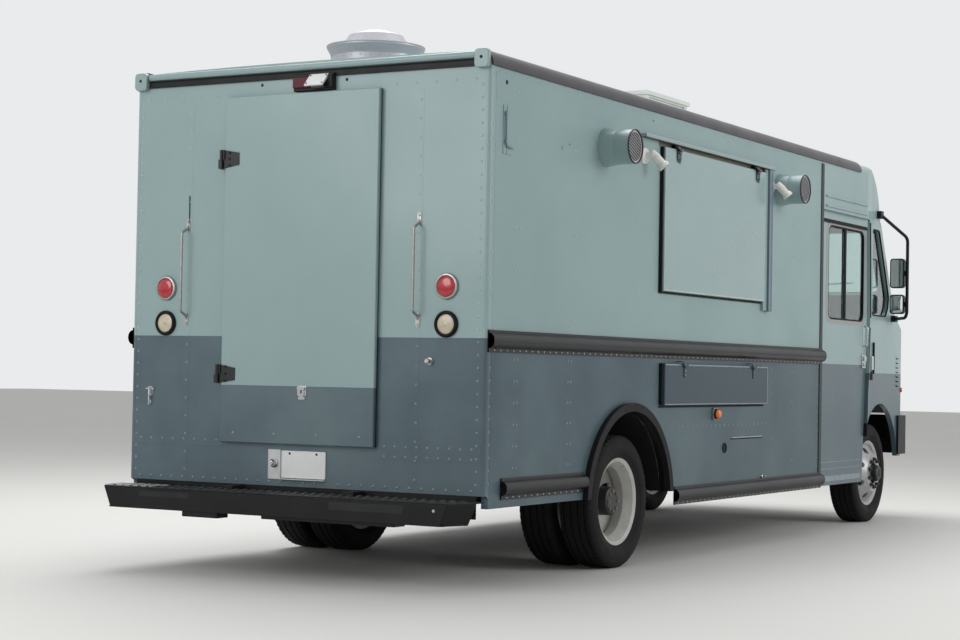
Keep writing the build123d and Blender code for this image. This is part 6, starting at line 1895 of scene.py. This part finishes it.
    def screen_trim(self, side: Side) -> None:
        """Run a rubber gasket round a windscreen pane."""
        pane, post, short = self.pane
        rise, fall = self.screen_top[1] - self.screen_foot[1], self.screen_foot[0] - self.screen_top[0]
        width, height = pane - post, sqrt(fall**2 + rise**2) - short
        middle = moved(self.screen_frame(), side.value * (pane + post) / 2)
        outer = rounded_rectangle(width + 0.03, height + 0.03, 0.074, 8)
        gasket = ring(outer, rounded_rectangle(width - 0.014, height - 0.014, 0.054, 8), middle,
                      -0.002, 0.0045)
        gasket.piece(f"screen_gasket_{side.word}", Palette.SEAL_RUBBER, bevel=0.0015)

    def wiper(self, side: Side) -> None:
        """Park a wiper along the foot of the glass: pivot, arm, blade and the blade's back."""
        place = self.screen_frame()
        wiper = Shape()
        pivot = place @ Vector((side.value * 0.25, -0.3, 0.006))
        wiper.lathe([(0, 0.016), (0.01, 0.016), (0.014, 0.01)], pivot, place.to_3x3() @ Vector(UP), 20)
        for ends, radius, sides in (
            (((0.25, -0.3, 0.018), (0.56, -0.21, 0.02)), 0.0042, 8),
            (((0.32, -0.225, 0.012), (0.8, -0.2, 0.012)), 0.0045, 8),
            (((0.37, -0.225, 0.018), (0.75, -0.2, 0.018)), 0.003, 6),
        ):
            wiper.tube([place @ Vector((side.value * u, v, w)) for u, v, w in ends], radius, sides)
        wiper.piece(f"wiper_{side.word}", Palette.BLACK_PLASTIC)

    def grille(self) -> None:
        """Face the grille bars and stand the radiator's finned core behind them."""
        bars, rows = Shape(), Shape()
        (low, high), nose = self.grille_z, station(self.nose)
        for z in steps_between(low, high, 0.046)[1:-1]:
            bars.box((nose - 0.0345, -0.639, z - 0.0085), (nose - 0.008, 0.639, z + 0.0085))
        for y in steps_between(-0.48, 0.48, 0.24):
            bars.box((nose - 0.044, y - 0.004, low + 0.002), (nose - 0.03, y + 0.004, high - 0.002))
        bars.piece("grille_bars", Palette.BLACK_PLASTIC, bevel=0.003)
        core = Shape().box((nose - 0.16, -0.62, low - 0.03), (nose - 0.11, 0.62, high + 0.02))
        core.piece("radiator_core", Palette.RADIATOR_FINS, bevel=0.006)
        for z in steps_between(low - 0.02, high + 0.01, 0.016):
            rows.box((nose - 0.11, -0.615, z - 0.0015), (nose - 0.106, 0.615, z + 0.0015))
        rows.piece("radiator_fins", Palette.RADIATOR_FINS)
        outer, inner = rounded_rectangle(1.32, 0.41, 0.02), rounded_rectangle(1.276, 0.366, 0.012)
        surround = ring(outer, inner, facing((nose, 0, 1.145), AHEAD), -0.004, 0.007)
        surround.piece("grille_surround", Palette.BLACK_PLASTIC, bevel=0.002)


@dataclass(frozen=True)
class Roof:
    """Seams and rivets of the roof, and the trim of the fan and the vent.

    Attributes:
        laps: Distance of each lap of the roof's sheets.
        crown: How much lower the roof is at its sides than in the middle.
        fan: Distance and y of the fan's axis.
        fan_foot: Height of the fan's foot.
        vent: Distance and y of the vent's middle.
    """

    laps: tuple[float, ...] = (0.62, 1.83, 2.44, 3.9, 4.51)
    crown: float = 0.012
    fan: Pair = (1.33, 0.4)
    fan_foot: float = 2.838
    vent: Pair = (3.23, -0.45)

    def build(self) -> None:
        """Dress the roof, the fan and the vent."""
        self.seams()
        self.fan_trim()
        self.vent_trim()

    def seams(self) -> None:
        """Lap the roof sheets every few feet and rivet the laps."""
        laps, heads = Shape(), Shape()
        for distance in self.laps:
            x = station(distance)
            rings = []
            for y in steps_between(-1.1, 1.1, 2.2 / 16):
                low = 2.8488 - self.crown * (y / 1.1) ** 2
                corners = ((-0.02, 0), (-0.02, 0.003), (0.02, 0.003), (0.02, 0))
                rings.append([(x + u, y, low + w) for u, w in corners])
            laps.loft(rings)
            places = [(x, y, 2.8516 - self.crown * (y / 1.1) ** 2) for y in steps_between(-1.06, 1.06, 0.1)]
            heads.copies(rivet(0.006, 0.002), [Matrix.Translation(p) for p in places])
        laps.piece("roof_sheet_laps", Palette.MINT_ENAMEL)
        heads.piece("roof_rivets", Palette.MINT_ENAMEL)

    def about_fan(self, angle: float, radius: float, height: float) -> Point:
        """Place beside the fan's axis, by its height over the foot."""
        x, y = station(self.fan[0]), self.fan[1]
        return x + radius * cos(angle), y + radius * sin(angle), self.fan_foot + height

    def fan_trim(self) -> None:
        """Rivet the fan's collar and drum, roll its beads, seam its drum and stay its dome."""
        rivets, beads, stays = Shape(), Shape(), Shape()
        for height in (0.075, 0.235):
            places = [facing(self.about_fan(a, 0.2762, height), (cos(a), sin(a), 0)) for a in around(28)]
            rivets.copies(rivet(0.0055, 0.003), places)
        places = [Matrix.Translation(self.about_fan(a, 0.289, 0.036)) for a in around(8, 0.5)]
        rivets.copies(hex_head(0.008, 0.006), places)
        rivets.piece("fan_rivets", Palette.FAN_LACQUER)
        for height, radius, thick in ((0.06, 0.2765, 0.0035), (0.252, 0.2775, 0.0035),
                                      (0.311, 0.3025, 0.005)):
            beads.tube([self.about_fan(a, radius, height) for a in (*around(72), 2 * pi)], thick, 8)
        beads.piece("fan_rolled_beads", Palette.FAN_LACQUER)
        x, y, foot = self.about_fan(0, 0, 0)
        seam = Shape().box((x - 0.01, y - 0.2785, foot + 0.062), (x + 0.01, y - 0.275, foot + 0.248))
        seam.piece("fan_drum_seam", Palette.FAN_LACQUER, bevel=0.001)
        for a in around(4):
            stays.tube([self.about_fan(a + 0.4, radius, 0.3) for radius in (0.202, 0.296)], 0.005, 8)
        stays.piece("fan_dome_stays", Palette.FAN_LACQUER)

    def vent_trim(self) -> None:
        """Screw the vent's lid down and seal its foot."""
        x, y = station(self.vent[0]), self.vent[1]
        screws = [Matrix.Translation((x + u, y + v, 3.0348)) for u in (-0.31, 0, 0.31) for v in (-0.24, 0.24)]
        Shape().copies(rivet(0.007, 0.0003), screws).piece("vent_lid_screws", Palette.ZINC_PLATE)
        outer, inner = rounded_rectangle(0.7, 0.58, 0.02), rounded_rectangle(0.661, 0.541, 0.002)
        seal = ring(outer, inner, Matrix.Translation((x, y, 0)), 2.84, 2.852)
        seal.piece("vent_foot_seal", Palette.SEAL_RUBBER, bevel=0.003)


@dataclass(frozen=True)
class Underbody:
    """U-bolts on the axles and straps on the tank.

    Attributes:
        spring_y: Distance of each leaf spring from the middle.
        bolt_z: Height of a U-bolt's ends and of its bend.
        strap: Width of a tank strap.
    """

    spring_y: float = 0.495
    bolt_z: Pair = (0.335, 0.482)
    strap: float = 0.04

    def build(self) -> None:
        """Clamp the springs and strap the tank."""
        bolts, straps = Shape(), Shape()
        foot, bend = self.bolt_z
        spots = [(x, side.value * self.spring_y) for x in (REAR_AXLE_X, FRONT_AXLE_X) for side in Side]
        for x, y in ((x + shift, y) for x, y in spots for shift in (-0.068, 0.068)):
            corners = [(x, y - 0.04, foot), (x, y - 0.04, bend), (x, y + 0.04, bend), (x, y + 0.04, foot)]
            bolts.tube(rounded_path(corners, 0.016), 0.008, 10)
        bolts.piece("spring_u_bolts", Palette.CHASSIS_ENAMEL)
        low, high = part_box("fuel_tank")
        width, height = high.y - low.y, high.z - low.z
        outer = rounded_rectangle(width + 0.006, height + 0.006, 0.052, 6)
        inner, half = rounded_rectangle(width, height, 0.05, 6), self.strap / 2
        band = ring(outer, inner, Matrix.Identity(4), -half, half)
        middle = (low + high) / 2
        straps.copies(band, [facing((x, middle.y, middle.z), AHEAD) for x in (low.x + 0.18, high.x - 0.18)])
        straps.piece("tank_straps", Palette.ZINC_PLATE)


@dataclass(frozen=True)
class Interior:
    """Seat and gauges that show through the cab's glass.

    Attributes:
        driver_y: The driver's distance to the left of the middle.
        seat_z: Height of the seat's frame.
        half: Half a pad's width.
        rows: Number of steps along a pad.
        channels: Which of them are sewn down.
        dials: Shift from the driver's middle, height and radius of each dial.
    """

    driver_y: float = 0.42
    seat_z: float = 1.08
    half: float = 0.236
    rows: int = 14
    channels: tuple[int, ...] = (5, 9)
    dials: tuple[Point, ...] = ((-0.1, 1.345, 0.046), (0.1, 1.345, 0.046), (0, 1.345, 0.034))

    def build(self) -> None:
        """Build the seat's base, its two pads and the gauges."""
        low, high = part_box("driver_seat")
        y, z = self.driver_y, self.seat_z
        base = Shape().box((low.x + 0.19, y - 0.09, 0.811), (low.x + 0.41, y + 0.09, z - 0.004))
        base.box((low.x + 0.14, y - 0.21, z - 0.03), (high.x - 0.05, y + 0.21, z))
        base.piece("seat_base", Palette.CHASSIS_ENAMEL, bevel=0.006, stands_for=("driver_seat",))
        cushion = self.pad((low.x + 0.1, high.x - 0.004), (z + 0.002, z + 0.104))
        lean = Matrix.Translation((low.x + 0.17, 0, z + 0.09)) @ Matrix.Rotation(radians(-103.5), 4, "Y")
        back = Shape().copies(self.pad((0, 0.6), (-0.05, 0.05)), [lean])
        cushion.piece("seat_cushion", Palette.CABIN_VINYL, levels=1, angle=180)
        back.piece("seat_back", Palette.CABIN_VINYL, levels=1, angle=180)
        self.gauges()

    def pad(self, run: Pair, levels: Pair) -> Shape:
        """A rounded cushion with sewn channels across it.

        Args:
            run: X of its rear and front.
            levels: Its lower and upper side.

        Returns:
            The cushion as a closed shape.
        """
        rings = []
        for i in range(self.rows + 1):
            t = i / self.rows
            pull = 0.3 + 0.7 * min(1.0, sin(pi * t) * 2.6)
            rise = (levels[1] - levels[0]) / 2 * pull - (0.006 if i in self.channels else 0.0)
            reach = self.half * (0.9 + 0.1 * pull)
            loop = []
            for a in around(20):
                wide = copysign(abs(cos(a)) ** 0.45, cos(a))
                tall = copysign(abs(sin(a)) ** 0.6, sin(a))
                x = run[0] + (run[1] - run[0]) * t
                loop.append((x, self.driver_y + reach * wide, sum(levels) / 2 + rise * tall))
            rings.append(loop)
        return Shape().loft(rings)

    def gauges(self) -> None:
        """Set the plain dials in the dash ahead of the driver."""
        slope = (-1, 0, 0.55)
        for number, (shift, z, radius) in enumerate(self.dials):
            place = (station(6.315), self.driver_y + shift, z)
            rim = [(0, radius), (0.01, radius), (0.012, radius - 0.004), (0.004, radius - 0.006)]
            face = [(0.002, radius - 0.005), (0.004, radius - 0.005), (0.0041, 0)]
            turned(f"gauge_rim_{number}", Palette.CHROME, rim, place, slope, 32)
            turned(f"gauge_face_{number}", Palette.WHITE_PLASTIC, face, place, slope, 24)


@dataclass(frozen=True)
class Dressing:
    """Which finish each CAD node that stays shown takes.

    Attributes:
        finishes: Each finish with the names of its nodes.
    """

    finishes: tuple[tuple[Palette, tuple[str, ...]], ...] = (
        (Palette.WALL_ENAMEL, ("left_wall", "right_wall")),
        (Palette.REAR_ENAMEL, ("rear_wall",)),
        (Palette.DOOR_ENAMEL, ("rear_door",)),
        (Palette.CAB_ENAMEL, ("cab_door_left", "cab_door_right")),
        (Palette.FENDER_ENAMEL, ("fenders",)),
        (Palette.MINT_ENAMEL, ("roof", "cab_header", "cab_front", "hood", "nose_panel", "vent_pods")),
        (Palette.HATCH_ENAMEL, ("serving_hatch",)),
        (Palette.SLATE_ENAMEL, ("serving_shelf",)),
        (Palette.RAIL_VINYL, ("rub_rails",)),
        (Palette.UNDERCOAT, ("wheel_wells",)),
        (Palette.STEP_ENAMEL, ("rear_step", "front_bumper", "mirrors")),
        (Palette.CHASSIS_ENAMEL, ("chassis_frame", "spring_hangers", "rear_axle", "front_axle")),
        (Palette.CHASSIS_ENAMEL, ("knuckle_left", "knuckle_right", "engine_block", "fuel_tank")),
        (Palette.MILL_ALUMINIUM, ("load_floor", "bulkhead", "cab_floor", "door_tracks")),
        (Palette.FAN_LACQUER, ("roof_fan",)),
        (Palette.ZINC_PLATE, ("exhaust_pipe",)),
        (Palette.STAINLESS, ("grab_handles",)),
        (Palette.WINDOW_GLASS, ("cab_glass", "door_glass_left", "door_glass_right")),
        (Palette.WHITE_PLASTIC, ("roof_vent", "spot_lamps")),
        (Palette.RED_LENS, ("rear_lamps",)),
        (Palette.CLEAR_LENS, ("head_lamps",)),
        (Palette.CABIN_VINYL, ("driver_seat", "dash", "steering_wheel")),
        (Palette.TYRE_RUBBER, ("front_tyre_left", "front_tyre_right", "rear_tyres_left", "rear_tyres_right")),
        (Palette.SILVER_ENAMEL, ("front_wheel_left", "front_wheel_right")),
        (Palette.WHEEL_ENAMEL, ("rear_wheels_left", "rear_wheels_right")),
    )

    def build(self) -> None:
        """Give every CAD node its finish."""
        for finish, names in self.finishes:
            for name in names:
                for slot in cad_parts[name].material_slots:
                    slot.material = finish.material


def main() -> None:
    """Dress the truck and set up the studio."""
    logging.basicConfig(level=logging.INFO, format="%(message)s")
    Dressing().build()
    rear = (Panelling, RearTrim, RoundLamps, RearGrabHandles, PlateBox, StepBumper)
    for part in (*rear, ServingSide, RubRails, Wheels, Cab, Roof, Underbody, Interior):
        LOG.info("building %s", part.__name__)
        part().build()
    Studio().build()


if __name__ == "__main__":
    main()
